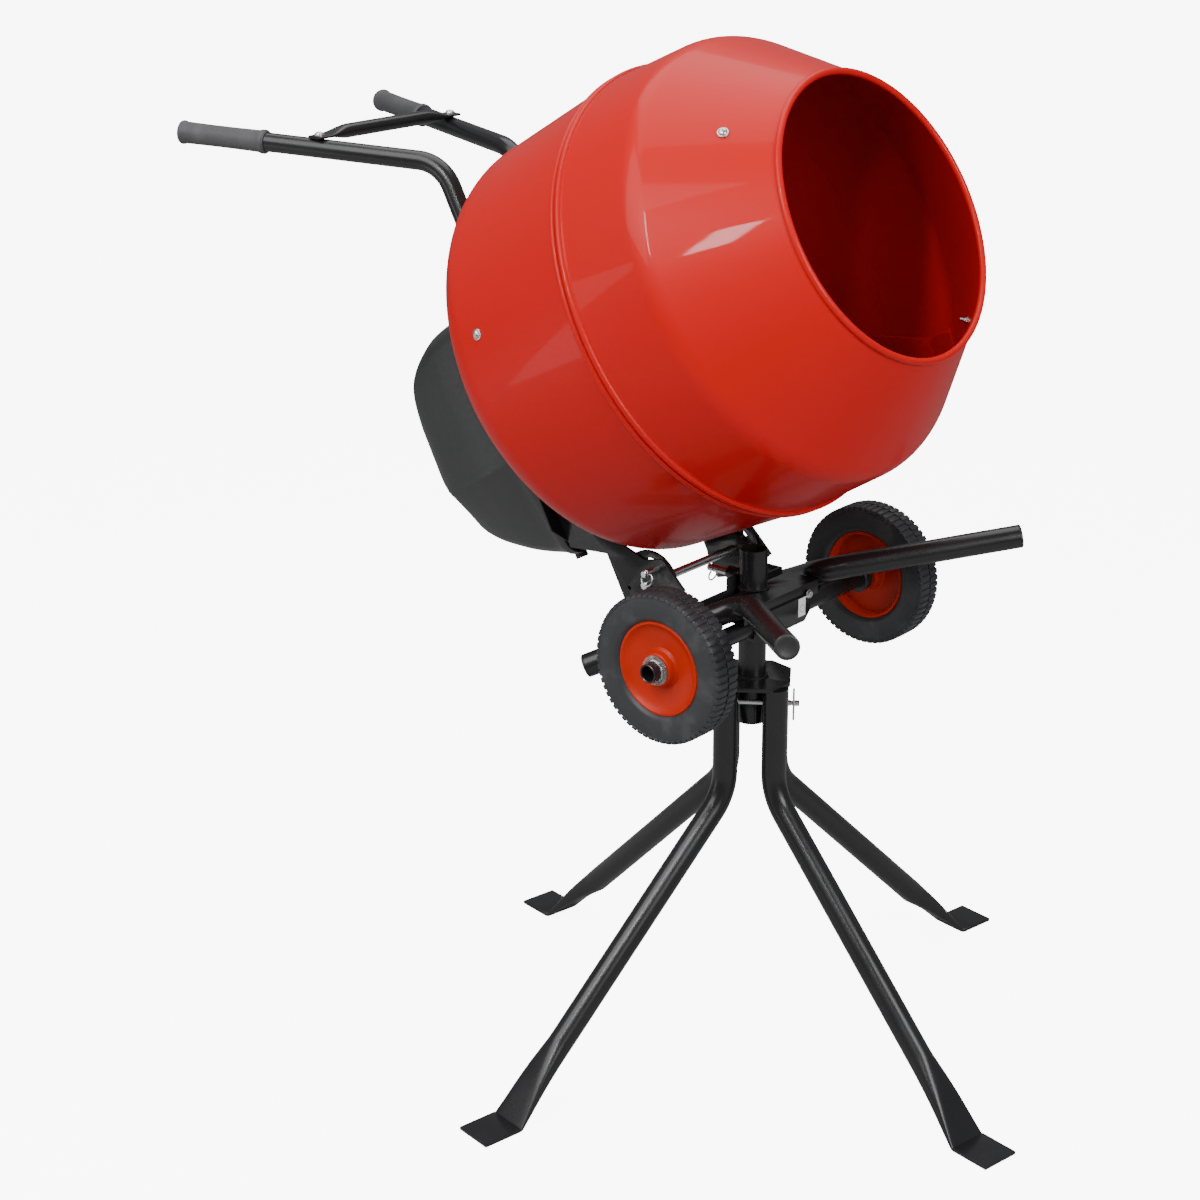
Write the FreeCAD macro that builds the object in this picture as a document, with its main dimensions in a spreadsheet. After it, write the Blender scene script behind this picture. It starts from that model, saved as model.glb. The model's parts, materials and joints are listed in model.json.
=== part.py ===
import FreeCAD, Part
import Sketcher
import math
import os
from FreeCAD import Placement, Rotation, Vector

# Concrete mixer on a four-legged stand, in millimetres.
# Origin: on the ground under the upright post. +X towards the drum's mouth, +Y along the axle, +Z up.
# The drum, its drive and the handles are drawn in the drum's own frame: local Z is the drum's axis,
# local X points down and forward, and the origin is the centre of the drum's seam.

SIZES = {
    # stand
    "stand_turn": -55.5, "head_top": 530, "head_width": 106, "head_corner": 26, "head_thick": 6,
    "leg_od": 34, "leg_wall": 2.5, "leg_circle": 47, "leg_drop": 118, "leg_bend": 75,
    "foot_radius": 486, "foot_length": 60, "foot_width": 58, "foot_thick": 5, "flat_length": 120,
    "spigot_below": 66, "socket_wall": 4, "fit_gap": 0.05, "seat_thick": 1.5,
    "stand_pin_od": 8, "stand_pin_drop": 33,
    # upright post and the pin that keeps the mixer on the stand
    "post_od": 38, "post_wall": 2, "post_top": 711, "spigot_top": 688, "lock_height": 668, "lock_pin_od": 10,
    # rolling frame
    "cross_width": 50, "cross_height": 20, "cross_front": 48, "cross_length": 166,
    "axle_x": 35, "axle_height": 622, "axle_od": 25, "axle_wall": 2.5,
    "arm_od": 32, "arm_wall": 2, "arm_bend": 45,
    "knee_x": 52, "knee_y": 84, "knee_z": 668,
    "front_x": 249, "front_y": 267, "front_z": 711,
    "rear_x": -118, "rear_y": 205, "rear_z": 576,
    "wheel_od": 200, "rim_od": 126, "tyre_width": 42, "wheel_outer": 251, "hub_od": 44,
    # tilt joint
    "pivot_x": -103, "pivot_z": 663, "pivot_od": 12, "lug_in": 88, "plate_thick": 5, "side_gap": 0.5,
    "lug_radius": 46, "web_height": 20, "stop_radius": 31, "stop_angle": 57, "tilt_back": 35, "tilt_fore": 10, "stop_pin_od": 10,
    "drum_gap": 10, "spare_hole": 6, "spare_drop": 33,
    # drum
    "drum_x": -42, "drum_z": 1058, "drum_pitch": 28, "drum_wall": 2,
    "seam_r": 304, "seam_reach": 9.5, "ridge_r": 4, "pot_r": 293, "pot_corner": -228,
    "base_r": 214, "base_z": -310, "pot_round": 62,
    "crown_r": 296, "crown_z": 124, "crown_round": 40, "mouth_r": 190, "mouth_z": 262, "bead_r": 4.5,
    "blade_front": 176, "blade_rear": -190, "blade_start": 48.5, "blade_twist": 31, "blade_lean": 9,
    "blade_width": 50, "screw_front": 210, "screw_rear": -176,
    # drive and cover
    "plate_z": -348, "back_thick": 4, "plate_half": 120, "plate_up": 112, "plate_down": 236,
    "shaft_od": 25, "gear_r": 98, "pinion_r": 14, "big_pulley_r": 90, "small_pulley_r": 15,
    "cover_back": -535, "cover_wall": 3, "motor_r": 55,
    # handles
    "tube_od": 27, "tube_wall": 2, "handle_bend": 60, "handle_side": 73, "handle_z": -334,
    "handle_up": 316, "handle_foot": 60, "grip_x": -871, "grip_y": 198, "grip_z": 1198, "grip_length": 138,
    "grip_od": 34, "brace_back": 188,
}

doc = FreeCAD.newDocument("concrete_mixer")
dims = doc.addObject("Spreadsheet::Sheet", "dims")
for row, (alias, size) in enumerate(SIZES.items(), start=1):
    dims.set("A%d" % row, alias)
    dims.set("B%d" % row, str(size))
    dims.setAlias("B%d" % row, alias)
doc.recompute()

nodes = []


def val(alias):
    """Value of one driving dimension."""
    return float(dims.get(alias))


def keep(obj, label):
    """Names a finished sub-part; its label is the node's name."""
    obj.Label = label
    nodes.append(obj)
    return obj


# ---------------------------------------------------------------- placements

def in_drum_frame(obj):
    """Places an object that is drawn in the drum's frame."""
    obj.Placement = Placement(Vector(0, 0, 0), Rotation(Vector(0, 1, 0), 90 - val("drum_pitch")))
    obj.setExpression("Placement.Base.x", "dims.drum_x")
    obj.setExpression("Placement.Base.z", "dims.drum_z")
    obj.setExpression("Placement.Rotation.Angle", "90 - dims.drum_pitch")
    return obj


def in_stand_frame(obj):
    """Turns an object that is drawn square to the stand."""
    obj.Placement = Placement(Vector(0, 0, 0), Rotation(Vector(0, 0, 1), val("stand_turn")))
    obj.setExpression("Placement.Rotation.Angle", "dims.stand_turn")
    return obj


def drum_placement():
    """Placement of the drum's frame, for shapes that are made in code."""
    turn = Rotation(Vector(0, 1, 0), 90 - val("drum_pitch"))
    return Placement(Vector(val("drum_x"), 0, val("drum_z")), turn)


def in_drum(x, y, z):
    """World point of a point of the drum's frame."""
    return drum_placement().multVec(Vector(x, y, z))


# ---------------------------------------------------------------- bound features

def outline(body, plane, points, holes=(), lift="0"):
    """Closed sketch on an origin plane; every corner and hole is bound to the sheet."""
    base = [f for f in body.Origin.OriginFeatures if f.Role == plane][0]
    sketch = body.newObject("Sketcher::SketchObject", "outline")
    sketch.AttachmentSupport = [(base, "")]
    sketch.MapMode = "FlatFace"
    sketch.setExpression("AttachmentOffset.Base.z", lift)
    count = len(points)
    start = [Vector(40 * math.cos(2 * math.pi * i / count), 40 * math.sin(2 * math.pi * i / count), 0)
             for i in range(count)]
    for i in range(count):
        sketch.addGeometry(Part.LineSegment(start[i], start[(i + 1) % count]), False)
    for i in range(count):
        sketch.addConstraint(Sketcher.Constraint("Coincident", i, 2, (i + 1) % count, 1))
    for i, (across, along) in enumerate(points):
        bind_point(sketch, i, 1, across, along, start[i])
    for across, along, radius in holes:
        circle = sketch.addGeometry(Part.Circle(Vector(0, 0, 0), Vector(0, 0, 1), 1), False)
        bind_point(sketch, circle, 3, across, along, Vector(0, 0, 0))
        size = sketch.addConstraint(Sketcher.Constraint("Radius", circle, 1.0))
        sketch.setExpression("Constraints[%d]" % size, radius)
    return sketch


def bind_point(sketch, item, corner, across, along, start):
    """Holds one sketch point at bound distances from the origin."""
    mark = sketch.addConstraint(Sketcher.Constraint("DistanceX", -1, 1, item, corner, start.x))
    sketch.setExpression("Constraints[%d]" % mark, across)
    mark = sketch.addConstraint(Sketcher.Constraint("DistanceY", -1, 1, item, corner, start.y))
    sketch.setExpression("Constraints[%d]" % mark, along)


def padded(label, plane, points, thick, holes=(), lift="0", middle=False):
    """Plate: a bound outline padded to a bound thickness."""
    body = doc.addObject("PartDesign::Body", label)
    pad = body.newObject("PartDesign::Pad", "pad")
    pad.Profile = outline(body, plane, points, holes, lift)
    pad.Midplane = middle
    pad.setExpression("Length", thick)
    return keep(body, label)


def turned(label, points, axis_plane="XZ_Plane"):
    """Turned piece: a bound half section, revolved about the sketch's vertical axis."""
    body = doc.addObject("PartDesign::Body", label)
    sketch = outline(body, axis_plane, points)
    spin = body.newObject("PartDesign::Revolution", "spin")
    spin.Profile = sketch
    spin.ReferenceAxis = (sketch, ["V_Axis"])
    spin.Angle = 360
    return keep(body, label)


def cylinder(radius, height, x="0", y="0", z="0", axis="Z"):
    """Bound cylinder along a main axis, starting at x, y, z."""
    obj = doc.addObject("Part::Cylinder", "cylinder")
    turn = {"Z": Rotation(), "Y": Rotation(Vector(1, 0, 0), -90), "X": Rotation(Vector(0, 1, 0), 90)}[axis]
    obj.Placement = Placement(Vector(0, 0, 0), turn)
    obj.setExpression("Radius", radius)
    obj.setExpression("Height", height)
    for side, size in zip("xyz", (x, y, z)):
        obj.setExpression("Placement.Base." + side, size)
    return obj


def box(length, width, height, x="0", y="0", z="0"):
    """Bound box with its lowest corner at x, y, z."""
    obj = doc.addObject("Part::Box", "box")
    obj.setExpression("Length", length)
    obj.setExpression("Width", width)
    obj.setExpression("Height", height)
    for side, size in zip("xyz", (x, y, z)):
        obj.setExpression("Placement.Base." + side, size)
    return obj


def cut(base, *tools):
    """Base less every tool, as a chain of Part cuts."""
    for tool in tools:
        result = doc.addObject("Part::Cut", "cut")
        result.Base = base
        result.Tool = tool
        base = result
    return base


def fused(*shapes):
    """Union of several pieces, or a group of separate solids in one node."""
    result = doc.addObject("Part::MultiFuse", "fuse")
    result.Shapes = list(shapes)
    return result


def framed(*shapes):
    """Pieces grouped in one object, whose placement then moves them together."""
    result = doc.addObject("Part::Compound", "group")
    result.Links = list(shapes)
    return result


def made(label, shape, placement=None):
    """Sub-part whose shape is worked out in code from the sheet's values."""
    obj = doc.addObject("Part::Feature", label)
    obj.Shape = shape
    if placement is not None:
        obj.Placement = placement.multiply(shape.Placement)
    return keep(obj, label)


# ---------------------------------------------------------------- shapes made in code

def rounded_path(points, radii):
    """Open wire through the points, with a tangent arc at each inner one."""
    edges = []
    last = points[0]
    for i in range(1, len(points) - 1):
        before = (points[i - 1] - points[i]).normalize()
        after = (points[i + 1] - points[i]).normalize()
        half = before.getAngle(after) / 2
        reach = radii[i - 1] / math.tan(half)
        middle = (before + after).normalize()
        centre = points[i] + middle * (radii[i - 1] / math.sin(half))
        start = points[i] + before * reach
        end = points[i] + after * reach
        edges.append(Part.LineSegment(last, start).toShape())
        edges.append(Part.Arc(start, centre - middle * radii[i - 1], end).toShape())
        last = end
    edges.append(Part.LineSegment(last, points[-1]).toShape())
    return Part.Wire(edges)


def swept(path, radius):
    """Solid round bar along a path."""
    first = path.OrderedEdges[0]
    start = first.valueAt(first.FirstParameter)
    ring = Part.Wire(Part.makeCircle(radius, start, first.tangentAt(first.FirstParameter)))
    return path.makePipeShell([ring], True, False)


def bent_tube(points, bends, outer, wall):
    """Hollow round tube with tangent bends."""
    path = rounded_path(points, bends)
    return swept(path, outer).cut(swept(path, outer - wall))


def shell_of_revolution(points, radii, wall):
    """Spun sheet: outer points (radius, height) with rounded corners, walled inwards, about local Z."""
    inner = []
    for i, (r, h) in enumerate(points):
        normals = []
        for a, b in ((i - 1, i), (i, i + 1)):
            if a < 0 or b >= len(points):
                continue
            run = math.hypot(points[b][0] - points[a][0], points[b][1] - points[a][1])
            normals.append(((points[a][1] - points[b][1]) / run, (points[b][0] - points[a][0]) / run))
        nx = sum(n[0] for n in normals)
        ny = sum(n[1] for n in normals)
        scale = wall * len(normals) / (nx * nx + ny * ny)
        inner.append((r + nx * scale, h + ny * scale))
    inner_radii = []
    for i, radius in enumerate(radii, start=1):
        (ax, ay), (bx, by), (cx, cy) = points[i - 1], points[i], points[i + 1]
        turn = (bx - ax) * (cy - by) - (by - ay) * (cx - bx)
        inner_radii.append(radius - wall if turn > 0 else radius + wall)
    outer_wire = rounded_path([Vector(r, 0, h) for r, h in points], radii)
    inner_wire = rounded_path([Vector(r, 0, h) for r, h in inner], inner_radii)
    ends = [Part.LineSegment(Vector(points[k][0], 0, points[k][1]), Vector(inner[k][0], 0, inner[k][1])).toShape()
            for k in (0, -1)]
    section = Part.Face(Part.Wire(Part.__sortEdges__(outer_wire.Edges + inner_wire.Edges + ends)))
    return section.revolve(Vector(0, 0, 0), Vector(0, 0, 1), 360)


def rounded_rectangle(x_low, x_high, half_y, corner, z):
    """Closed wire of a rectangle with round corners, square to local Z."""
    corners = [Vector(x_low, -half_y, z), Vector(x_high, -half_y, z), Vector(x_high, half_y, z),
               Vector(x_low, half_y, z)]
    middle = (corners[0] + corners[3]) * 0.5
    path = rounded_path([middle] + corners + [middle], [corner] * 4)
    return Part.Wire(path.Edges)


# ================================================================ stand

half_head = "dims.head_width/2"
cut_head = "(dims.head_width/2 - dims.head_corner)"
octagon = [("-" + half_head, "-" + cut_head), ("-" + cut_head, "-" + half_head), (cut_head, "-" + half_head),
           (half_head, "-" + cut_head), (half_head, cut_head), (cut_head, half_head),
           ("-" + cut_head, half_head), ("-" + half_head, cut_head)]
spigot_r = "(dims.post_od/2 - dims.post_wall - dims.fit_gap)"
head_plate = padded("head_plate", "XY_Plane", octagon, "dims.head_thick",
                    [("0", "0", spigot_r)], "dims.head_top - dims.head_thick")
nodes.remove(head_plate)

pin_level = "dims.head_top - dims.stand_pin_drop"
pin_reach = "(dims.leg_circle*0.7071 + dims.leg_od/2)"
pin_side = "(dims.post_od/2 - dims.post_wall + dims.stand_pin_od/2 - 2)"


def stand_pin_bore(clearance):
    """Bore for the cross pin, through the two front legs and past the front of the spigot."""
    return cylinder("dims.stand_pin_od/2 + %g" % clearance, "2*%s + 60" % pin_reach,
                    pin_side, "-%s - 30" % pin_reach, pin_level, "Y")


socket = cut(cylinder(spigot_r + " + dims.socket_wall", "dims.spigot_below - dims.head_thick",
                      z="dims.head_top - dims.spigot_below"),
             cylinder(spigot_r, "dims.spigot_below", z="dims.head_top - dims.spigot_below"))

groove_low = "dims.lock_height - dims.lock_pin_od/2 - 1"
spigot = cut(cylinder(spigot_r, "dims.spigot_top - dims.head_top + dims.spigot_below",
                      z="dims.head_top - dims.spigot_below"),
             cut(cylinder("dims.post_od", "dims.lock_pin_od + 2", z=groove_low),
                 cylinder(spigot_r + " - 4", "dims.lock_pin_od + 2", z=groove_low)),
             stand_pin_bore(0.1))
keep(in_stand_frame(spigot), "stand_spigot")


def leg_shape():
    """Bent tube leg in the XZ plane: straight down, out to the ground, flattened into a flat foot."""
    top = Vector(val("leg_circle"), 0, val("head_top") - val("head_thick"))
    knee = Vector(val("leg_circle"), 0, top.z - val("leg_drop") - val("leg_bend") / 2)
    heel = Vector(val("foot_radius") - val("foot_length"), 0, val("foot_thick") / 2 + 0.2)
    slope = (heel - knee).normalize()
    neck = heel - slope * val("flat_length")
    tube = bent_tube([top, knee, neck], [val("leg_bend")], val("leg_od") / 2, val("leg_wall"))
    turn = Rotation(Vector(0, 0, 1), slope)
    round_end = Part.Wire(Part.makeCircle(val("leg_od") / 2, neck, slope))
    oval = Part.Ellipse(Vector(0, 0, 0), val("foot_width") / 2 - 1, val("foot_thick") / 2).toShape()
    oval.Placement = Placement(heel, turn.multiply(Rotation(Vector(0, 0, 1), 90)))
    flare = Part.makeLoft([round_end, Part.Wire(oval)], True)
    pad = Part.makeBox(val("foot_length") + 4, val("foot_width"), val("foot_thick"),
                       Vector(heel.x - 4, -val("foot_width") / 2, 0))
    return tube.fuse(flare).fuse(pad).removeSplitter()


LEGS = (("leg_front_left", 45), ("leg_rear_left", 135), ("leg_rear_right", 225), ("leg_front_right", 315))
bore_radius = val("stand_pin_od") / 2 + 0.1
for leg_name, leg_angle in LEGS:
    leg = leg_shape()
    leg.rotate(Vector(0, 0, 0), Vector(0, 0, 1), leg_angle)
    if leg_name.startswith("leg_front"):
        pin_x = val("post_od") / 2 - val("post_wall") + val("stand_pin_od") / 2 - 2
        leg = leg.cut(Part.makeCylinder(bore_radius, 200, Vector(pin_x, -100, val("head_top")
                                                                 - val("stand_pin_drop")), Vector(0, 1, 0)))
    made(leg_name, leg, Placement(Vector(0, 0, 0), Rotation(Vector(0, 0, 1), val("stand_turn"))))

# two side plates tie the front legs to the rear ones under the head plate
tie_half = "(dims.leg_circle*0.7071 - dims.leg_od/2 - 0.2)"
tie_face = "(dims.leg_circle*0.7071 + dims.leg_od/2 - 7)"
tie_low = "dims.head_top - dims.head_thick - 52"
ties = [box("2*" + tie_half, "4", "52", "-" + tie_half, y, tie_low) for y in (tie_face, "-%s - 4" % tie_face)]
keep(in_stand_frame(cut(fused(head_plate, socket, *ties), stand_pin_bore(0.1))), "stand_head")

seat = cut(cylinder("dims.post_od/2 + 3", "dims.seat_thick", z="dims.head_top"),
           cylinder(spigot_r, "dims.seat_thick", z="dims.head_top"))
keep(in_stand_frame(seat), "post_seat_washer")

stand_pin = cut(cylinder("dims.stand_pin_od/2", "2*%s + 22" % pin_reach, pin_side, "-%s - 6" % pin_reach,
                         pin_level, "Y"),
                cylinder("1.7", "40", pin_side, pin_reach + " + 8", pin_level + " - 20"))
keep(in_stand_frame(stand_pin), "stand_cross_pin")


def r_clip_shape():
    """Spring clip: a straight leg through the pin and a waved leg outside it."""
    x = val("post_od") / 2 - val("post_wall") + val("stand_pin_od") / 2 - 2
    y = val("leg_circle") * math.sqrt(0.5) + val("leg_od") / 2 + 8
    z = val("head_top") - val("stand_pin_drop")
    wire = 1.4
    points = [Vector(x, y, z - 24), Vector(x, y, z + 22), Vector(x + 9, y, z + 22), Vector(x + 9, y, z + 9),
              Vector(x + 6, y, z), Vector(x + 9.5, y, z - 9), Vector(x + 9.5, y, z - 22)]
    return swept(rounded_path(points, [4.4, 4.4, 6, 7, 6]), wire)


made("r_clip", r_clip_shape(), Placement(Vector(0, 0, 0), Rotation(Vector(0, 0, 1), val("stand_turn"))))

# ================================================================ rolling frame

post_foot = "dims.head_top + dims.seat_thick"
post_bore = "dims.post_od/2 - dims.post_wall"
post = cut(cylinder("dims.post_od/2", "dims.post_top - " + "(" + post_foot + ")", z=post_foot),
           cylinder(post_bore, "dims.post_top", z=post_foot),
           cylinder("dims.lock_pin_od/2 + 0.1", "dims.post_od", "-dims.post_od - 2", "0", "dims.lock_height", "X"))
keep(post, "upright_post")

ARM_ENDS = {"left": 1, "right": -1}


def arm_path(side):
    """Corner points of one foot tube: front tip, knee, rear tip."""
    return [Vector(val("front_x"), side * val("front_y"), val("front_z")),
            Vector(val("knee_x"), side * val("knee_y"), val("knee_z")),
            Vector(val("rear_x"), side * val("rear_y"), val("rear_z"))]


def end_plug(tip, inner, radius, wall):
    """Plastic end plug: a thin domed cap over the tube's end with a stem in its bore."""
    out = (tip - inner).normalize()
    cap = Part.makeCylinder(radius, 3, tip, out)
    cap = cap.makeFillet(1.2, [e for e in cap.Edges if e.CenterOfMass.distanceToPoint(tip + out * 3) < 0.1])
    stem = Part.makeCylinder(radius - wall, 12, tip - out * 12, out)
    return cap.fuse(stem)


arm_solids = {}
plugs = []
for name, side in ARM_ENDS.items():
    corners = arm_path(side)
    arm_solids[name] = swept(rounded_path(corners, [val("arm_bend")]), val("arm_od") / 2)
    made("foot_tube_" + name, bent_tube(corners, [val("arm_bend")], val("arm_od") / 2, val("arm_wall")))
    plugs.append(end_plug(corners[0], corners[1], val("arm_od") / 2, val("arm_wall")))
    plugs.append(end_plug(corners[2], corners[1], val("arm_od") / 2, val("arm_wall")))
made("foot_tube_plugs", Part.makeCompound(plugs))


def tool_solid(shape):
    """Cutting solid that isn't a node itself."""
    obj = doc.addObject("Part::Feature", "cutter")
    obj.Shape = shape
    return obj


cross_low = "dims.axle_height + dims.axle_od/2 + 0.5"
cross_back = "dims.cross_front - dims.cross_width"
cross = cut(box("dims.cross_width", "dims.cross_length", "dims.cross_height", cross_back,
                "-dims.cross_length/2", cross_low),
            box("dims.cross_width - 4", "dims.cross_length", "dims.cross_height - 4", cross_back + " + 2",
                "-dims.cross_length/2", cross_low + " + 2"),
            cylinder("dims.post_od/2", "100", z=cross_low + " - 30"),
            tool_solid(arm_solids["left"]), tool_solid(arm_solids["right"]))
keep(cross, "cross_tube")

label_half = "(dims.cross_length/2 - 22)"
front_plate = padded("front_plate", "YZ_Plane",
       [("-" + label_half, cross_low + " + 6"), ("-" + label_half, cross_low + " - 30"),
        (label_half + " - 12", cross_low + " - 30"), (label_half, cross_low + " - 18"),
        (label_half, cross_low + " + 6")],
       "3", lift="dims.cross_front")
nodes.remove(front_plate)

# two lugs behind the plate hold the axle
lug_back = "dims.axle_x - dims.axle_od/2 - 7"
lug_drop = "(dims.axle_od + 5)"
brackets = []
for place in ("-dims.cross_length/2 + 26", "dims.cross_length/2 - 30"):
    lug = box("dims.cross_front - (%s)" % lug_back, "4", lug_drop, lug_back, place, cross_low + " - " + lug_drop)
    bore = cylinder("dims.axle_od/2", "6", "dims.axle_x", place + " - 1", "dims.axle_height", "Y")
    brackets.append(cut(lug, bore))
keep(fused(front_plate, *brackets), "axle_bracket")

axle_half = "(dims.wheel_outer + 17)"
axle = cut(cylinder("dims.axle_od/2", "2*" + axle_half, "dims.axle_x", "-" + axle_half, "dims.axle_height", "Y"),
           cylinder("dims.axle_od/2 - dims.axle_wall", "2*%s + 2" % axle_half, "dims.axle_x",
                    "-%s - 1" % axle_half, "dims.axle_height", "Y"))
keep(axle, "wheel_axle")

# pivot bracket: a web behind the post and two side lugs with the pivot hole and the curved stop slot
low_web = box("4", "2*dims.lug_in", "dims.web_height", "-dims.post_od/2 - 4", "-dims.lug_in", cross_low)
high_web = box("4", "60", "36", "-dims.post_od/2 - 4", "-30", cross_low)
web_hole = cylinder("dims.lock_pin_od/2 + 0.1", "40", "-dims.post_od/2 - 26", "0", "dims.lock_height", "X")
boss = cylinder("dims.lock_pin_od/2 + 4", "22", "-dims.post_od/2 - 22", "0", "dims.lock_height", "X")
keep(cut(fused(low_web, high_web, boss), web_hole), "pivot_web")


def lug_shape(side):
    """Side lug: round end about the pivot, a neck forward to the web, and the curved stop slot."""
    low = min(side * val("lug_in"), side * (val("lug_in") + val("plate_thick")))
    centre = Vector(val("pivot_x"), low, val("pivot_z"))
    across = Vector(0, 1, 0)
    thick = val("plate_thick")
    base = val("axle_height") + val("axle_od") / 2 + 0.5
    disc = Part.makeCylinder(val("lug_radius"), thick, centre, across)
    neck = Part.makeBox(-val("post_od") / 2 - val("pivot_x"), thick, val("web_height"), Vector(val("pivot_x"), low, base))
    trim = Part.makeBox(400, thick, 400, Vector(-300, low, base - 400))
    lug = disc.fuse(neck).removeSplitter().cut(trim)
    lug = lug.cut(Part.makeCylinder(val("pivot_od") / 2, thick, centre, across))
    slot_r = val("stop_pin_od") / 2 + 0.3
    first = val("stop_angle") - val("tilt_fore")
    last = val("stop_angle") + val("tilt_back")
    middle_r = val("stop_radius")
    ring = Part.makeCylinder(middle_r + slot_r, thick, centre, across).cut(
        Part.makeCylinder(middle_r - slot_r, thick, centre, across))
    steps = [first + (last - first) * k / 4 for k in range(5)]
    rim = [centre + Vector(math.cos(math.radians(a)), 0, math.sin(math.radians(a))) * 90 for a in steps]
    wedge = Part.Face(Part.makePolygon([centre] + rim + [centre])).extrude(across * thick)
    slot = ring.common(wedge)
    for angle in (first, last):
        end = centre + Vector(math.cos(math.radians(angle)), 0, math.sin(math.radians(angle))) * middle_r
        slot = slot.fuse(Part.makeCylinder(slot_r, thick, end, across))
    return lug.cut(slot)


for name, side in ARM_ENDS.items():
    made("pivot_lug_" + name, lug_shape(side))

pivot_reach = "(dims.lug_in + 2*dims.plate_thick + dims.side_gap + 8)"
keep(cylinder("dims.pivot_od/2", "2*" + pivot_reach, "dims.pivot_x", "-" + pivot_reach, "dims.pivot_z", "Y"),
     "tilt_pivot_bar")


def pin_ring(centre, normal, radius, wire):
    """Split ring."""
    return Part.makeTorus(radius, wire, centre, normal)


lock_tip = "-(%s) + 3" % spigot_r
lock_pin = cut(cylinder("dims.lock_pin_od/2", "62", lock_tip + " - 62", "0", "dims.lock_height", "X"),
               cylinder("2", "20", lock_tip + " - 56", "-10", "dims.lock_height", "Y"))
lock_x = -(val("post_od") / 2 - val("post_wall") - val("fit_gap")) + 3
lock_ring = tool_solid(pin_ring(Vector(lock_x - 56, 0, val("lock_height") - 9), Vector(1, 0, 0.3), 9, 1.2))
keep(fused(lock_pin, lock_ring), "swivel_lock_pin")

# ================================================================ wheels

wheel_face = "dims.wheel_outer"
for name, side in ARM_ENDS.items():
    turn = Rotation(Vector(1, 0, 0), -90 if side > 0 else 90)
    at_axle = Placement(Vector(val("axle_x"), side * (val("wheel_outer") - val("tyre_width") / 2),
                               val("axle_height")), turn)
    half_tyre = "dims.tyre_width/2"
    tyre = turned("tyre_" + name, [("dims.rim_od/2", "-%s + 5" % half_tyre), ("dims.rim_od/2 + 6", "-" + half_tyre),
                                   ("dims.wheel_od/2 - 7", "-" + half_tyre), ("dims.wheel_od/2", "-%s + 6" % half_tyre),
                                   ("dims.wheel_od/2", half_tyre + " - 6"), ("dims.wheel_od/2 - 7", half_tyre),
                                   ("dims.rim_od/2 + 6", half_tyre), ("dims.rim_od/2", half_tyre + " - 5")])
    tyre.Placement = at_axle
    rim_r = "dims.rim_od/2"
    rim = turned("rim_" + name, [
        ("dims.axle_od/2 + 4", "-%s + 1" % half_tyre), ("dims.hub_od/2", "-%s + 1" % half_tyre),
        ("dims.hub_od/2", "-2"), (rim_r + " - 5", "-2"), (rim_r + " - 5", "-%s + 5" % half_tyre),
        (rim_r, "-%s + 5" % half_tyre), (rim_r, half_tyre + " - 5"), (rim_r + " - 5", half_tyre + " - 5"),
        (rim_r + " - 8", "5"), ("dims.hub_od/2 + 4", "5"), ("dims.hub_od/2", half_tyre),
        ("dims.axle_od/2 + 4", half_tyre)])
    rim.Placement = at_axle
    bush = turned("wheel_bush_" + name, [
        ("dims.axle_od/2 + dims.fit_gap", "-" + half_tyre), ("dims.axle_od/2 + 4", "-" + half_tyre),
        ("dims.axle_od/2 + 4", half_tyre), ("dims.axle_od/2 + dims.fit_gap", half_tyre)])
    bush.Placement = at_axle

washers = []
for side in (1, -1):
    low = "dims.wheel_outer + 1" if side > 0 else "-dims.wheel_outer - 4"
    washers.append(cut(cylinder("dims.hub_od/2 - 2", "3", "dims.axle_x", low, "dims.axle_height", "Y"),
                       cylinder("dims.axle_od/2", "3", "dims.axle_x", low, "dims.axle_height", "Y")))
keep(fused(*washers), "axle_end_washers")

# ================================================================ tilting unit: yoke, back plate, drive, cover

pivot_local = drum_placement().inverse().multVec(Vector(val("pivot_x"), 0, val("pivot_z")))
stop_world = Vector(val("pivot_x") + val("stop_radius") * math.cos(math.radians(val("stop_angle"))), 0,
                    val("pivot_z") + val("stop_radius") * math.sin(math.radians(val("stop_angle"))))
stop_local = drum_placement().inverse().multVec(stop_world)
yoke_in = val("lug_in") + val("plate_thick") + val("side_gap")


def clear_of_drum(radius):
    """Distance down from the drum's axis that clears a drum radius at the yoke's side."""
    return math.sqrt((radius + val("drum_gap")) ** 2 - yoke_in ** 2)


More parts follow.
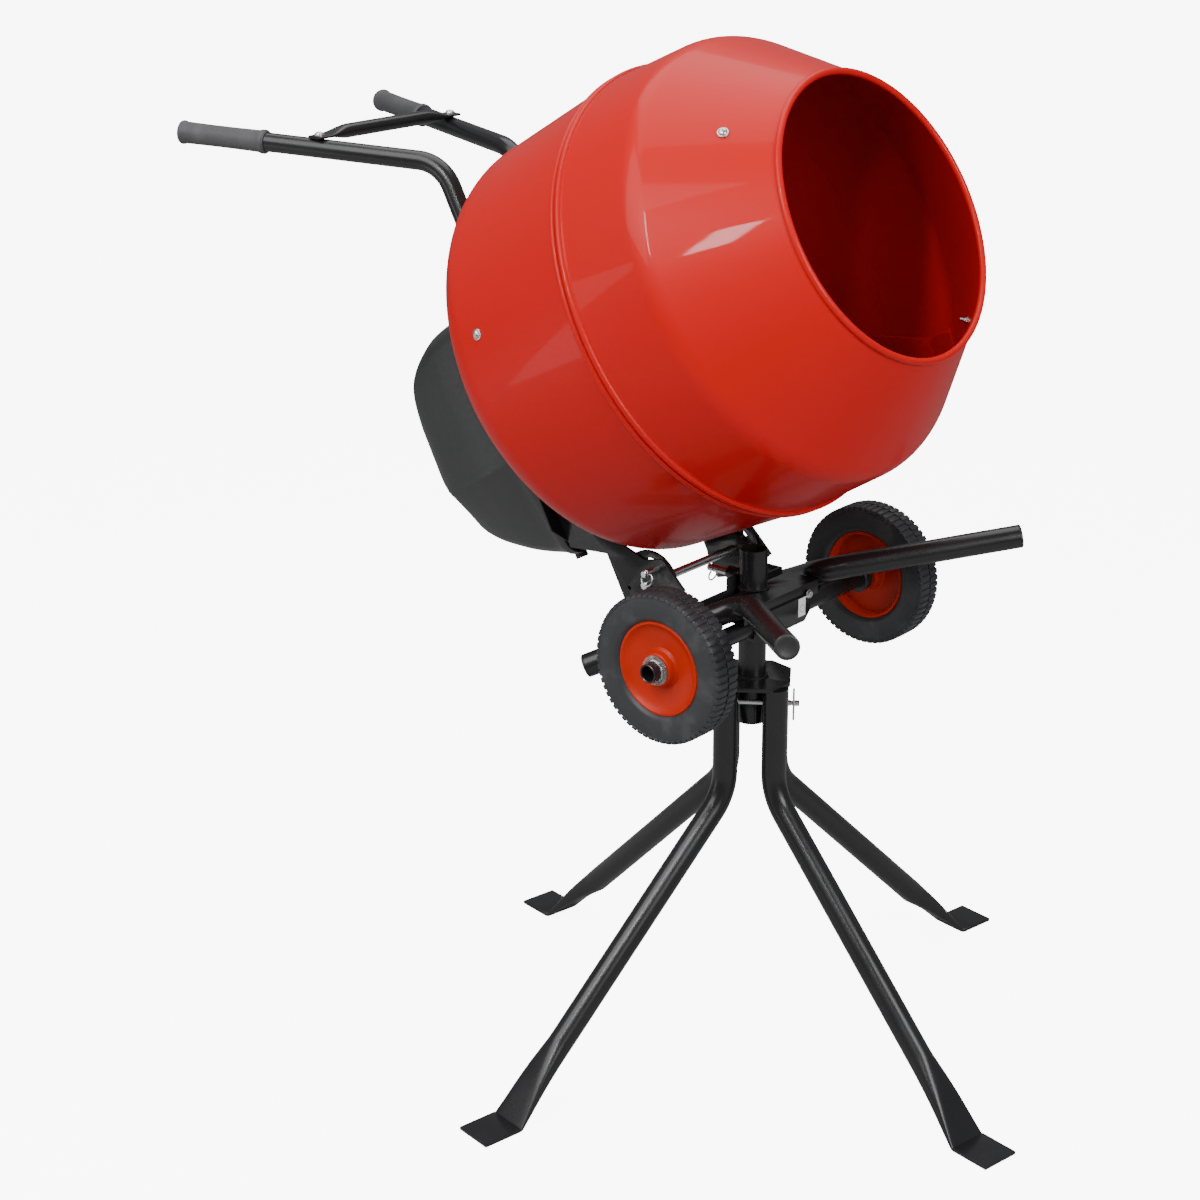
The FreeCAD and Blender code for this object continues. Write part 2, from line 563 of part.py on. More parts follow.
def yoke_shape(side):
    """Side arm of the yoke with its foot flange on the back plate, in the drum's frame."""
    front = val("plate_z")
    p, thick = pivot_local, val("plate_thick")
    base_back = val("base_z") - val("drum_gap")
    arm = [(120, front), (val("plate_down"), front), (p.x - 58, p.z - 49), (p.x + 30, p.z - 49),
           (p.x + 40, p.z), (p.x + 25, p.z + 57), (clear_of_drum(val("pot_r")) + 8, val("pot_corner") + 30),
           (clear_of_drum(val("pot_r")), val("pot_corner")), (clear_of_drum(val("base_r")), val("base_z")),
           (clear_of_drum(val("base_r")) - 20, base_back), (120, base_back)]
    low = side * yoke_in if side > 0 else side * (yoke_in + thick)
    face = Part.Face(Part.makePolygon([Vector(x, low, z) for x, z in arm + arm[:1]]))
    plate = face.extrude(Vector(0, thick, 0))
    flange_low = yoke_in - 22 if side > 0 else -yoke_in
    flange = Part.makeBox(val("plate_down") - 130, 22, 4, Vector(125, flange_low, front))
    plate = plate.fuse(flange).removeSplitter()
    plate = plate.cut(Part.makeCylinder(val("pivot_od") / 2 + val("fit_gap"), thick, Vector(p.x, low, p.z),
                                        Vector(0, 1, 0)))
    plate = plate.cut(Part.makeCylinder(val("stop_pin_od") / 2 + val("fit_gap"), thick,
                                        Vector(stop_local.x, low, stop_local.z), Vector(0, 1, 0)))
    return plate.cut(Part.makeCylinder(val("spare_hole") / 2, thick,
                                       Vector(p.x - 4, low, p.z - val("spare_drop")), Vector(0, 1, 0)))


for name, side in ARM_ENDS.items():
    made("yoke_arm_" + name, yoke_shape(side), drum_placement())

lay_x = "(dims.gear_r + dims.pinion_r + 1)"
in_drum_frame(padded("back_plate", "XY_Plane", [
    ("-dims.plate_up", "-dims.plate_half + 25"), ("-dims.plate_up + 25", "-dims.plate_half"),
    ("dims.plate_down - 30", "-dims.plate_half"), ("dims.plate_down", "-dims.plate_half + 30"),
    ("dims.plate_down", "dims.plate_half - 30"), ("dims.plate_down - 30", "dims.plate_half"),
    ("-dims.plate_up + 25", "dims.plate_half"), ("-dims.plate_up", "dims.plate_half - 25")],
    "dims.back_thick", [("0", "0", "27"), (lay_x, "0", "6")], "dims.plate_z - dims.back_thick"))

bearing_od = 52
housing = cut(cylinder("38", "30", z="dims.plate_z"), cylinder("26", "30", z="dims.plate_z"))
keep(in_drum_frame(housing), "bearing_housing")
bearings = []
for start in ("dims.plate_z", "dims.plate_z + 15"):
    bearings.append(cut(cylinder("26", "14.8", z=start),
                        cylinder("dims.shaft_od/2 + dims.fit_gap", "14.8", z=start)))
keep(in_drum_frame(fused(*bearings)), "drum_bearings")

keep(in_drum_frame(framed(cylinder("6", "60", lay_x, "0", "dims.plate_z - 54"))), "layshaft_stub")

gear_z = "dims.plate_z - 26"
tooth_gap = "0.4"
pulley_z = "dims.plate_z - 50"
lay = cut(fused(cylinder("dims.pinion_r - " + tooth_gap, "26", lay_x, "0", "dims.plate_z - 34"),
                cylinder("dims.big_pulley_r", "18", lay_x, "0", pulley_z)),
          cylinder("6 + dims.fit_gap", "90", lay_x, "0", "dims.plate_z - 70"))
keep(in_drum_frame(lay), "layshaft_pulley_and_pinion")

motor_z = "dims.cover_back + 30"
motor_top = "(dims.plate_z - 58)"
motor = cut(cylinder("dims.motor_r", motor_top + " - (%s)" % motor_z, z=motor_z),
            cylinder("8 + dims.fit_gap", "60", z=motor_top + " - 50"))
keep(in_drum_frame(motor), "motor_body")
rotor = fused(cylinder("8", "70", z=motor_top + " - 49"),
              cylinder("dims.small_pulley_r", "18", z=pulley_z))
keep(in_drum_frame(rotor), "motor_shaft_and_pulley")


def belt_shape():
    """Open belt round the two pulleys, a little clear of both."""
    clearance = 0.4
    centre = val("gear_r") + val("pinion_r") + 1
    z = val("plate_z") - 48
    ring = []
    for radius in (clearance, clearance + 5):
        small = val("small_pulley_r") + radius
        large = val("big_pulley_r") + radius
        lean = math.asin((large - small) / centre)
        along, across = -math.sin(lean), math.cos(lean)
        s1 = Vector(small * along, small * across, z)
        l1 = Vector(centre + large * along, large * across, z)
        l2 = Vector(l1.x, -l1.y, z)
        s2 = Vector(s1.x, -s1.y, z)
        ring.append(Part.Face(Part.Wire([
            Part.LineSegment(s1, l1).toShape(),
            Part.Arc(l1, Vector(centre + large, 0, z), l2).toShape(),
            Part.LineSegment(l2, s2).toShape(),
            Part.Arc(s2, Vector(-small, 0, z), s1).toShape()])))
    return ring[1].cut(ring[0]).extrude(Vector(0, 0, 14))


made("drive_belt", belt_shape(), drum_placement())


# share of the cover's depth, how far its top, its bottom and its sides have come in, and its corner radius
COVER_SECTIONS = ((0, 0, 0, 0, 34), (0.27, 0, 0, 0, 34), (0.55, 16, 26, 6, 36), (0.8, 38, 50, 18, 40),
                  (1, 100, 140, 50, 26))


def cover_solid(grow):
    """Solid of the motor cover: straight behind its rim, then tapering to a small back."""
    front = val("plate_z") - val("back_thick")
    back = val("cover_back") + (0 if grow == 0 else val("cover_wall"))
    sections = []
    for share, top_in, bottom_in, side_in, corner in COVER_SECTIONS:
        low = -val("plate_up") - 4 + top_in - grow
        high = val("plate_down") + 4 - bottom_in + grow
        half = val("plate_half") + 6 - side_in + grow
        sections.append(rounded_rectangle(low, high, half, corner + grow, front - (front - back) * share))
    return Part.makeLoft(sections, True, True)


cover = cover_solid(0).cut(cover_solid(-val("cover_wall")))
made("motor_cover", cover, drum_placement())

cover_screws = []
for x_place, y_side in (("-dims.plate_up + 40", 1), ("-dims.plate_up + 40", -1),
                        ("dims.plate_down - 70", 1), ("dims.plate_down - 70", -1)):
    low_y = "dims.plate_half - 14" if y_side > 0 else "-dims.plate_half + 14"
    cover_screws.append(cylinder("5", "3", x_place, low_y, "dims.plate_z"))
keep(in_drum_frame(fused(*cover_screws)), "cover_screws")

gland = fused(cylinder("9", "14", "dims.plate_down + 4.5", "-40", "dims.plate_z - 42", "X"),
              cylinder("12", "5", "dims.plate_down + 4.5", "-40", "dims.plate_z - 42", "X"))
keep(in_drum_frame(gland), "cord_gland")

# ---- tilt stop pin, on the right arm
stop_y = "-(dims.lug_in - 6)"
stop_pin = cut(cylinder("dims.stop_pin_od/2", "46", "%.4f" % stop_world.x, stop_y + " - 46", "%.4f" % stop_world.z,
                        "Y"),
               cylinder("2", "20", "%.4f" % (stop_world.x - 10), stop_y + " - 38", "%.4f" % stop_world.z, "X"))
stop_ring = tool_solid(pin_ring(stop_world + Vector(0, -(val("lug_in") - 6) - 38, -9), Vector(0, 1, 0.3), 9, 1.2))
keep(fused(stop_pin, stop_ring), "tilt_stop_pin")

# ================================================================ drum


def drum_rear():
    """Rear pot of the drum."""
    outline_points = [(44, val("base_z")), (val("base_r"), val("base_z")), (val("pot_r"), val("pot_corner")),
                      (val("seam_r"), -0.2)]
    return shell_of_revolution(outline_points, [val("pot_round"), val("pot_round")], val("drum_wall"))


def drum_front():
    """Front cone of the drum with its rolled mouth bead."""
    outline_points = [(val("seam_r"), 0.2), (val("crown_r"), val("crown_z")), (val("mouth_r"), val("mouth_z"))]
    shell = shell_of_revolution(outline_points, [val("crown_round")], val("drum_wall"))
    bead = Part.makeTorus(val("mouth_r") - 2, val("bead_r"), Vector(0, 0, val("mouth_z")), Vector(0, 0, 1))
    return shell.fuse(bead)


def seam_bead():
    """Double ridge over the seam, a single ring that sits on both shells."""
    seam = val("seam_r") + 0.03
    rear_edge = seam - (seam - val("pot_r")) * val("seam_reach") / -val("pot_corner")
    front_edge = seam - (seam - val("crown_r")) * val("seam_reach") / val("crown_z")
    outline_points = [(rear_edge, -val("seam_reach")), (rear_edge + 0.6, -val("seam_reach"))]
    for middle in (-val("seam_reach") / 2, val("seam_reach") / 2):
        for angle in (-60, -30, 0, 30, 60):
            turn = math.radians(angle)
            outline_points.append((seam - 0.4 + val("ridge_r") * math.cos(turn), middle + val("ridge_r") * math.sin(turn)))
    outline_points += [(front_edge + 0.6, val("seam_reach")), (front_edge, val("seam_reach")), (seam, 0)]
    corners = [Vector(radius, 0, height) for radius, height in outline_points]
    face = Part.Face(Part.makePolygon(corners + corners[:1]))
    return face.revolve(Vector(0, 0, 0), Vector(0, 0, 1), 360)


made("drum_rear_shell", drum_rear(), drum_placement())
made("drum_front_cone", drum_front(), drum_placement())
made("drum_seam_band", seam_bead(), drum_placement())

hub = fused(cylinder("60", "5", z="dims.base_z - 5"), cylinder("22", "12", z="dims.base_z - 5"))
shaft_low = "dims.plate_z - 27"
shaft = cylinder("dims.shaft_od/2", "dims.base_z + 7 - (%s)" % shaft_low, z=shaft_low)
keep(in_drum_frame(fused(hub, shaft)), "drum_shaft")
gear = cut(cylinder("dims.gear_r - " + tooth_gap, "16", z=gear_z), cylinder("dims.shaft_od/2", "16", z=gear_z))
keep(in_drum_frame(gear), "drum_gear")


BLADE_STEPS = 6  # straight stretches in one blade


def shell_radius(height):
    """Inner radius of the drum at a height of the drum's frame, on its straight flanks."""
    if height < 0:
        slope = (val("seam_r") - val("pot_r")) / -val("pot_corner")
        return val("seam_r") + slope * height - val("drum_wall")
    if height < val("crown_z"):
        return val("seam_r") + (val("crown_r") - val("seam_r")) * height / val("crown_z") - val("drum_wall")
    share = (height - val("crown_z")) / (val("mouth_z") - val("crown_z"))
    return val("crown_r") + (val("mouth_r") - val("crown_r")) * share - val("drum_wall")


def paddle_shape(turn):
    """Mixing blade: a leaning strip that stands on the wall and turns round it from the cone to the pot."""
    wall_gap, thick = 3.8, 4
    sections = []
    for step in range(BLADE_STEPS + 1):
        share = step / BLADE_STEPS
        height = val("blade_front") + (val("blade_rear") - val("blade_front")) * share
        angle = val("blade_start") + val("blade_twist") * share
        rise = val("blade_width") * (0.45 + 0.55 * math.sin(math.pi * share))
        wall = shell_radius(height) - wall_gap
        foot_angle, top_angle = math.radians(angle - val("blade_lean")), math.radians(angle)
        foot = Vector(wall * math.cos(foot_angle), wall * math.sin(foot_angle), height)
        top = Vector((wall - rise) * math.cos(top_angle), (wall - rise) * math.sin(top_angle), height)
        across = (top - foot).cross(Vector(0, 0, 1)).normalize() * thick
        sections.append(Part.makePolygon([foot, top, top + across, foot + across, foot]))
    blade = Part.makeLoft(sections, True, True)
    blade.rotate(Vector(0, 0, 0), Vector(0, 0, 1), turn)
    return blade


for number, turn in ((1, 0), (2, 180)):
    made("mixing_paddle_%d" % number, paddle_shape(turn), drum_placement())


def drum_screw_heads():
    """Pan-head screws at both ends of each blade, one through the cone and one through the pot."""
    heads = []
    fall = math.atan2(val("crown_r") - val("mouth_r"), val("mouth_z") - val("crown_z"))
    cone_normal = Vector(math.cos(fall), 0, math.sin(fall))
    pot_normal = Vector(1, 0, -0.05).normalize()
    for height, angle, normal in ((val("screw_front"), val("blade_start"), cone_normal),
                                  (val("screw_rear"), val("blade_start") + val("blade_twist"), pot_normal)):
        seat = Vector(shell_radius(height) + val("drum_wall"), 0, height)
        for turn in (angle, angle + 180):
            head = Part.makeCylinder(6, 3.4, seat + normal * 0.3, normal)
            top = [e for e in head.Edges if e.CenterOfMass.distanceToPoint(seat + normal * 3.7) < 0.1]
            head = head.makeFillet(1.8, top)
            head.rotate(Vector(0, 0, 0), Vector(0, 0, 1), turn)
            heads.append(head.cut(drum_front()).cut(drum_rear()))
    return Part.makeCompound(heads)


made("drum_screws", drum_screw_heads(), drum_placement())

# ================================================================ handles


def handle_points(side):
    """Corner points of one handle: grip end, bend, foot on the back plate."""
    y = side * val("handle_side")
    return [Vector(val("grip_x"), side * val("grip_y"), val("grip_z")),
            in_drum(-val("handle_up"), y, val("handle_z")),
            in_drum(val("handle_foot"), y, val("handle_z"))]


def grip_shape(points):
    """Rubber grip: sleeve over the tube's end, closed at the back, with a collar in front."""
    along = (points[1] - points[0]).normalize()
    end = points[0] - along * 3
    sleeve = Part.makeCylinder(val("grip_od") / 2 - 1.5, val("grip_length"), end, along)
    collars = [Part.makeCylinder(val("grip_od") / 2, 6, end, along),
               Part.makeCylinder(val("grip_od") / 2, 8, end + along * (val("grip_length") - 8), along)]
    bore = Part.makeCylinder(val("tube_od") / 2, val("grip_length"), points[0], along)
    return sleeve.fuse(collars).removeSplitter().cut(bore)


for name, side in ARM_ENDS.items():
    corners = handle_points(side)
    made("handle_" + name, bent_tube(corners, [val("handle_bend")], val("tube_od") / 2, val("tube_wall")))
    made("grip_" + name, grip_shape(corners))


def brace_ends():
    """Points on top of the two handles where the cross brace is bolted."""
    ends = []
    for side in (-1, 1):
        grip, bend, _ = handle_points(side)
        ends.append(bend + (grip - bend).normalize() * val("brace_back"))
    return ends


def brace_shape():
    """Cross brace: a tube flattened at both ends and laid over the handles."""
    right, left = brace_ends()
    lift = val("tube_od") / 2 + 2.7
    half = left.y
    middle = Vector(right.x, 0, right.z + lift)
    tube = Part.makeCylinder(10, 2 * half - 90, middle + Vector(0, -half + 45, 7), Vector(0, 1, 0))
    pieces = [tube]
    for side in (-1, 1):
        ring = Part.Wire(Part.makeCircle(10, middle + Vector(0, side * (half - 45), 7), Vector(0, 1, 0)))
        oval = Part.Ellipse(Vector(0, 0, 0), 13, 2).toShape()
        oval.Placement = Placement(middle + Vector(0, side * (half - 14), 0), Rotation(Vector(1, 0, 0), 90))
        pieces.append(Part.makeLoft([ring, Part.Wire(oval)], True))
        tab = Part.makeBox(26, 28, 4, middle + Vector(-13, side * half - 14, -2))
        pieces.append(tab)
    return pieces[0].fuse(pieces[1:]).removeSplitter()


def brace_bolt_shapes():
    """Domed bolt heads on the ends of the brace."""
    bolts = []
    for point in brace_ends():
        seat_point = point + Vector(0, 0, val("tube_od") / 2 + 4.7)
        head = Part.makeCylinder(7, 4.5, seat_point)
        top = [e for e in head.Edges if abs(e.CenterOfMass.z - seat_point.z - 4.5) < 0.1]
        bolts.append(head.makeFillet(2.5, top))
    return Part.makeCompound(bolts)


made("cross_brace", brace_shape())
made("cross_brace_bolts", brace_bolt_shapes())

clamps = []
for side in (1, -1):
    for place in ("-80", "20"):
        y_low = "dims.handle_side - 22" if side > 0 else "-dims.handle_side - 22"
        clamps.append(cut(box("16", "44", "2*(dims.handle_z - dims.plate_z)", place, y_low, "dims.plate_z"),
                          cylinder("dims.tube_od/2", "400", "-200", "%d*dims.handle_side" % side,
                                   "dims.handle_z", "X")))
keep(in_drum_frame(fused(*clamps)), "handle_clamps")

# ---- switch box on the left side of the cover
switch_y = "dims.plate_half + 6.4"
switch = cut(box("70", "30", "50", "20", switch_y, "dims.plate_z - 95"),
             cylinder("11.3", "12", "40", switch_y + " + 19", "dims.plate_z - 70", "Y"),
             cylinder("11.3", "12", "70", switch_y + " + 19", "dims.plate_z - 70", "Y"))
keep(in_drum_frame(switch), "switch_box")
for button, place in (("start_button", "40"), ("stop_button", "70")):
    cap = cylinder("11", "8.6", place, switch_y + " + 25", "dims.plate_z - 70", "Y")
    keep(in_drum_frame(framed(cap)), button)

# ================================================================ checks and export

doc.recompute()
for obj in doc.Objects:
    if any(word in obj.State for word in ("Invalid", "Error")):
        raise RuntimeError("%s failed: %s" % (obj.Label, obj.State))
os.makedirs("parts", exist_ok=True)
for obj in nodes:
    if obj.Shape.isNull() or not obj.Shape.isValid():
        raise RuntimeError("%s has a bad shape" % obj.Label)
for obj in nodes:
    obj.Shape.exportStep("parts/%s.step" % obj.Label)
print(len(nodes), "sub-parts written")
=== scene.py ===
"""Looks of a tilting-drum concrete mixer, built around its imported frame.

Lengths are in metres in the row's frame: +X towards the drum's mouth, +Y along the wheel axle, +Z up.
The drum's own frame has +Z along its axis to the mouth, +X down and forward, and +Y along the axle.
"""

import json
import logging
import math
from dataclasses import dataclass, field
from enum import Enum
from typing import Iterable, Sequence

import bmesh
import bpy
from mathutils import Matrix, Vector


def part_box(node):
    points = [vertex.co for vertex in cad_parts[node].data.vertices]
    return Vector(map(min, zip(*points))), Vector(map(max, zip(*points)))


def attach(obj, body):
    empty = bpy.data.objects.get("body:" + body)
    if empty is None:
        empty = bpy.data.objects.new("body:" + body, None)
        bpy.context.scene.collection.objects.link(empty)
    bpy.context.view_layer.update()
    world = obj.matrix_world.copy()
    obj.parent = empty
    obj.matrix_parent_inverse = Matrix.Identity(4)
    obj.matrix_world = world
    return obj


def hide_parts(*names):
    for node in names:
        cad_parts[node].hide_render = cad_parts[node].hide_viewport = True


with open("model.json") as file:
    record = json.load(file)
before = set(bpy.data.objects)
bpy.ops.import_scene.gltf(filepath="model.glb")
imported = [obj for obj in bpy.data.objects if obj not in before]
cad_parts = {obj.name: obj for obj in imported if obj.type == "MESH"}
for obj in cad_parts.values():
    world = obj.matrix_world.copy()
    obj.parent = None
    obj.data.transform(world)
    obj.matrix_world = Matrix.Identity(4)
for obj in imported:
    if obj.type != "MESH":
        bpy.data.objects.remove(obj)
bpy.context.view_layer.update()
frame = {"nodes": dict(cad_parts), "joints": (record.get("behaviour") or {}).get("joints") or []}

LOG = logging.getLogger("mixer")
MM = 0.001
SIDES = {"left": 1, "right": -1}
SMOOTH_ANGLE = 32.0
FLAT_ANGLE = 1.0
EASED_ANGLE = 38.0
COAT_ROUGHNESS = 0.04
DUST_TONE = (0.32, 0.31, 0.30, 1)
DUST_GRAIN = 34.0
DUST_SPAN = (0.52, 0.78)
FORWARD = Vector((1, 0, 0))
ACROSS = Vector((0, 1, 0))
UP = Vector((0, 0, 1))


class Texture(Enum):
    """Kinds of surface relief."""

    PAINT = "paint"
    POWDER = "powder"
    MOULDED = "moulded"
    RUBBER = "rubber"
    PLATED = "plated"
    CAST = "cast"
    CLEAR = "clear"


@dataclass(frozen=True)
class Relief:
    """Scale of a texture's grain per metre, its depth, and how far roughness and tone stray."""

    grain: float
    depth: float
    rough_swing: float
    tone_swing: float
    patch: float


RELIEFS = {
    Texture.PAINT: Relief(420, 0.000012, 0.03, 0.02, 3),
    Texture.POWDER: Relief(1400, 0.00006, 0.08, 0.25, 14),
    Texture.MOULDED: Relief(1900, 0.00014, 0.10, 0.16, 9),
    Texture.RUBBER: Relief(1100, 0.00012, 0.12, 0.30, 22),
    Texture.PLATED: Relief(900, 0.00002, 0.14, 0.12, 60),
    Texture.CAST: Relief(520, 0.00016, 0.12, 0.20, 30),
    Texture.CLEAR: Relief(300, 0.00002, 0.02, 0.02, 20),
}


@dataclass(frozen=True)
class Finish:
    """One finish of the machine: its tone, its gloss and the relief of its surface."""

    name: str
    tone: tuple[float, float, float]
    rough: float
    texture: Texture
    metal: float = 0.0
    coat: float = 0.0
    shine: float = 0.5
    see_through: float = 0.0
    dust: float = 0.0
    slot: str = ""

    def material(self) -> bpy.types.Material:
        """Builds the finish's node material once and returns it.

        Returns:
            The material, with tone, roughness and relief from procedural nodes.
        """
        made = bpy.data.materials.get(self.name)
        if made:
            return made
        made = bpy.data.materials.new(self.name)
        made.use_nodes = True
        nodes, links = made.node_tree.nodes, made.node_tree.links
        relief = RELIEFS[self.texture]
        shader = nodes["Principled BSDF"]
        for socket, level in (("Metallic", self.metal), ("Coat Weight", self.coat),
                              ("Coat Roughness", COAT_ROUGHNESS), ("Transmission Weight", self.see_through),
                              ("Specular IOR Level", self.shine)):
            shader.inputs[socket].default_value = level
        place = nodes.new("ShaderNodeTexCoord")
        patch = self._noise(nodes, links, place, relief.patch, 4.0)
        grain = self._noise(nodes, links, place, relief.grain, 3.0)
        darker = tuple(level * (1 - relief.tone_swing) for level in self.tone)
        lighter = tuple(min(1.0, level * (1 + relief.tone_swing)) for level in self.tone)
        mix = self._mix(nodes, links, patch.outputs["Fac"], darker, lighter)
        if self.dust:
            mix = self._dusted(nodes, links, place, mix)
        links.new(mix.outputs["Result"], shader.inputs["Base Color"])
        rough = nodes.new("ShaderNodeMapRange")
        rough.inputs["To Min"].default_value = max(0.02, self.rough - relief.rough_swing)
        rough.inputs["To Max"].default_value = min(1.0, self.rough + relief.rough_swing)
        links.new(patch.outputs["Fac"], rough.inputs["Value"])
        links.new(rough.outputs["Result"], shader.inputs["Roughness"])
        bump = nodes.new("ShaderNodeBump")
        bump.inputs["Strength"].default_value = 1.0
        bump.inputs["Distance"].default_value = relief.depth
        links.new(grain.outputs["Fac"], bump.inputs["Height"])
        links.new(bump.outputs["Normal"], shader.inputs["Normal"])
        return made

    @staticmethod
    def _noise(nodes: bpy.types.Nodes, links: bpy.types.NodeLinks, place: bpy.types.Node, scale: float,
               detail: float) -> bpy.types.Node:
        """Noise on the object's own coordinates."""
        noise = nodes.new("ShaderNodeTexNoise")
        noise.inputs["Scale"].default_value = scale
        noise.inputs["Detail"].default_value = detail
        links.new(place.outputs["Object"], noise.inputs["Vector"])
        return noise

    @staticmethod
    def _mix(nodes: bpy.types.Nodes, links: bpy.types.NodeLinks, share: bpy.types.NodeSocket,
             low: Sequence[float], high: Sequence[float]) -> bpy.types.Node:
        """Mix of two tones by a noise."""
        mix = nodes.new("ShaderNodeMix")
        mix.data_type = "RGBA"
        links.new(share, mix.inputs["Factor"])
        mix.inputs["A"].default_value = (*low, 1)
        mix.inputs["B"].default_value = (*high, 1)
        return mix

    def _dusted(self, nodes: bpy.types.Nodes, links: bpy.types.NodeLinks, place: bpy.types.Node,
                base: bpy.types.Node) -> bpy.types.Node:
        """Thin pale dust in broken patches over the tone.

        Args:
            nodes: The material's nodes.
            links: The material's links.
            place: Texture coordinates.
            base: The mix that holds the clean tone.

        Returns:
            A mix of the clean tone and the dust.
        """
        cloud = self._noise(nodes, links, place, DUST_GRAIN, 8.0)
        ramp = nodes.new("ShaderNodeMapRange")
        ramp.inputs["From Min"].default_value, ramp.inputs["From Max"].default_value = DUST_SPAN
        ramp.inputs["To Max"].default_value = self.dust
        links.new(cloud.outputs["Fac"], ramp.inputs["Value"])
        mix = nodes.new("ShaderNodeMix")
        mix.data_type = "RGBA"
        links.new(ramp.outputs["Result"], mix.inputs["Factor"])
        links.new(base.outputs["Result"], mix.inputs["A"])
        mix.inputs["B"].default_value = DUST_TONE
        return mix


RED_PAINT = Finish("red_enamel", (0.52, 0.004, 0.004), 0.38, Texture.PAINT, coat=0.13, shine=0.14,
                   slot="red_drum_paint")
BLACK_POWDER = Finish("black_powder_coat", (0.011, 0.011, 0.012), 0.27, Texture.POWDER,
                      slot="black_frame_paint")
COVER_PLASTIC = Finish("cover_moulding", (0.024, 0.025, 0.025), 0.33, Texture.MOULDED, slot="cover_plastic")
GRIP_RUBBER = Finish("grip_sleeve", (0.060, 0.060, 0.063), 0.60, Texture.RUBBER, dust=0.08,
                     slot="grip_rubber")
TYRE_RUBBER = Finish("tyre_tread", (0.024, 0.025, 0.028), 0.50, Texture.RUBBER, dust=0.10,
                     slot="tyre_rubber")
RIM_PLASTIC = Finish("rim_moulding", (0.50, 0.018, 0.001), 0.36, Texture.MOULDED, shine=0.2,
                     slot="red_rim_plastic")
ZINC = Finish("zinc_plate", (0.66, 0.67, 0.68), 0.27, Texture.PLATED, metal=1.0, slot="zinc_plated_steel")
BRIGHT_STEEL = Finish("turned_steel", (0.56, 0.56, 0.57), 0.32, Texture.PLATED, metal=1.0,
                      slot="bright_steel")
CAST_ALLOY = Finish("cast_alloy", (0.50, 0.51, 0.52), 0.46, Texture.CAST, metal=1.0, slot="cast_aluminium")
CAST_IRON = Finish("cast_iron", (0.10, 0.10, 0.105), 0.52, Texture.CAST, metal=0.8, slot="cast_iron")
BLACK_PLASTIC = Finish("black_moulding", (0.018, 0.018, 0.019), 0.42, Texture.MOULDED, slot="black_plastic")
BELT_RUBBER = Finish("belt_rubber", (0.015, 0.015, 0.015), 0.70, Texture.RUBBER, dust=0.12,
                     slot="belt_rubber")
GREEN_PLASTIC = Finish("green_button", (0.015, 0.30, 0.05), 0.30, Texture.MOULDED, slot="green_plastic")
RED_PLASTIC = Finish("red_button", (0.60, 0.015, 0.015), 0.30, Texture.MOULDED, slot="red_plastic")
CLEAR_PLASTIC = Finish("clear_cap", (0.92, 0.90, 0.89), 0.07, Texture.CLEAR, see_through=0.92,
                       slot="clear_plastic")
LABEL = Finish("label_foil", (0.86, 0.86, 0.84), 0.35, Texture.PAINT, slot="nylon")
LABEL_INK = Finish("label_ink", (0.05, 0.05, 0.05), 0.40, Texture.PAINT, slot="black_plastic")

NODE_FINISHES = {
    RED_PAINT: "drum_rear_shell drum_front_cone drum_seam_band mixing_paddle_1 mixing_paddle_2",
    BLACK_POWDER: "stand_head stand_spigot leg_front_left leg_front_right leg_rear_left leg_rear_right "
                  "upright_post cross_tube axle_bracket foot_tube_left foot_tube_right pivot_web "
                  "pivot_lug_left pivot_lug_right yoke_arm_left yoke_arm_right back_plate handle_left "
                  "handle_right handle_clamps cross_brace bearing_housing wheel_axle",
    COVER_PLASTIC: "motor_cover",
    GRIP_RUBBER: "grip_left grip_right",
    TYRE_RUBBER: "tyre_left tyre_right",
    RIM_PLASTIC: "rim_left rim_right",
    ZINC: "stand_cross_pin r_clip tilt_pivot_bar swivel_lock_pin tilt_stop_pin cover_screws "
          "cross_brace_bolts drum_screws",
    CLEAR_PLASTIC: "axle_end_washers",
    BRIGHT_STEEL: "drum_bearings layshaft_stub drum_shaft motor_shaft_and_pulley",
    CAST_ALLOY: "motor_body layshaft_pulley_and_pinion",
    CAST_IRON: "drum_gear",
    BLACK_PLASTIC: "foot_tube_plugs post_seat_washer cord_gland switch_box wheel_bush_left "
                   "wheel_bush_right",
    BELT_RUBBER: "drive_belt",
    GREEN_PLASTIC: "start_button",
    RED_PLASTIC: "stop_button",
}


# ---------------------------------------------------------------- frames and paths

@dataclass(frozen=True)
class Axis:
    """A line in space that turned pieces are drawn about."""

    origin: Vector
    along: Vector
    across: Vector = field(default_factory=ACROSS.copy)

    def matrix(self) -> Matrix:
        """Placement whose +Z is the line and whose +Y is near the across direction."""
        up = self.along.normalized()
        side = self.across.cross(up)
        if side.length < 1e-4:
            side = FORWARD.cross(up) if abs(up.x) < 0.9 else UP.cross(up)
        side.normalize()
        turn = Matrix((side, up.cross(side), up)).transposed()
        return Matrix.Translation(self.origin) @ turn.to_4x4()


def joint(name: str) -> dict:
    """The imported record's joint of that name."""
    return next(entry for entry in frame["joints"] if entry["name"] == name)


def drum_axis() -> Axis:
    """The drum's axis, with its origin at the centre of the seam."""
    spin = joint("drum_spin")
    return Axis(Vector(spin["pos_m"]), Vector(spin["axis"]))


def in_drum(x: float, y: float, z: float) -> Vector:
    """Row point of a point of the drum's frame."""
    return drum_axis().matrix() @ Vector((x, y, z))


def near(across: float, along: float, *steps: tuple[float, float]) -> list[tuple[float, float]]:
    """Outline points at steps in millimetres from a corner given in metres."""
    return [(across + out * MM, along + up * MM) for out, up in steps]


def spot(x: float, y: float, z: float) -> Vector:
    """Point or step given in millimetres."""
    return Vector((x * MM, y * MM, z * MM))


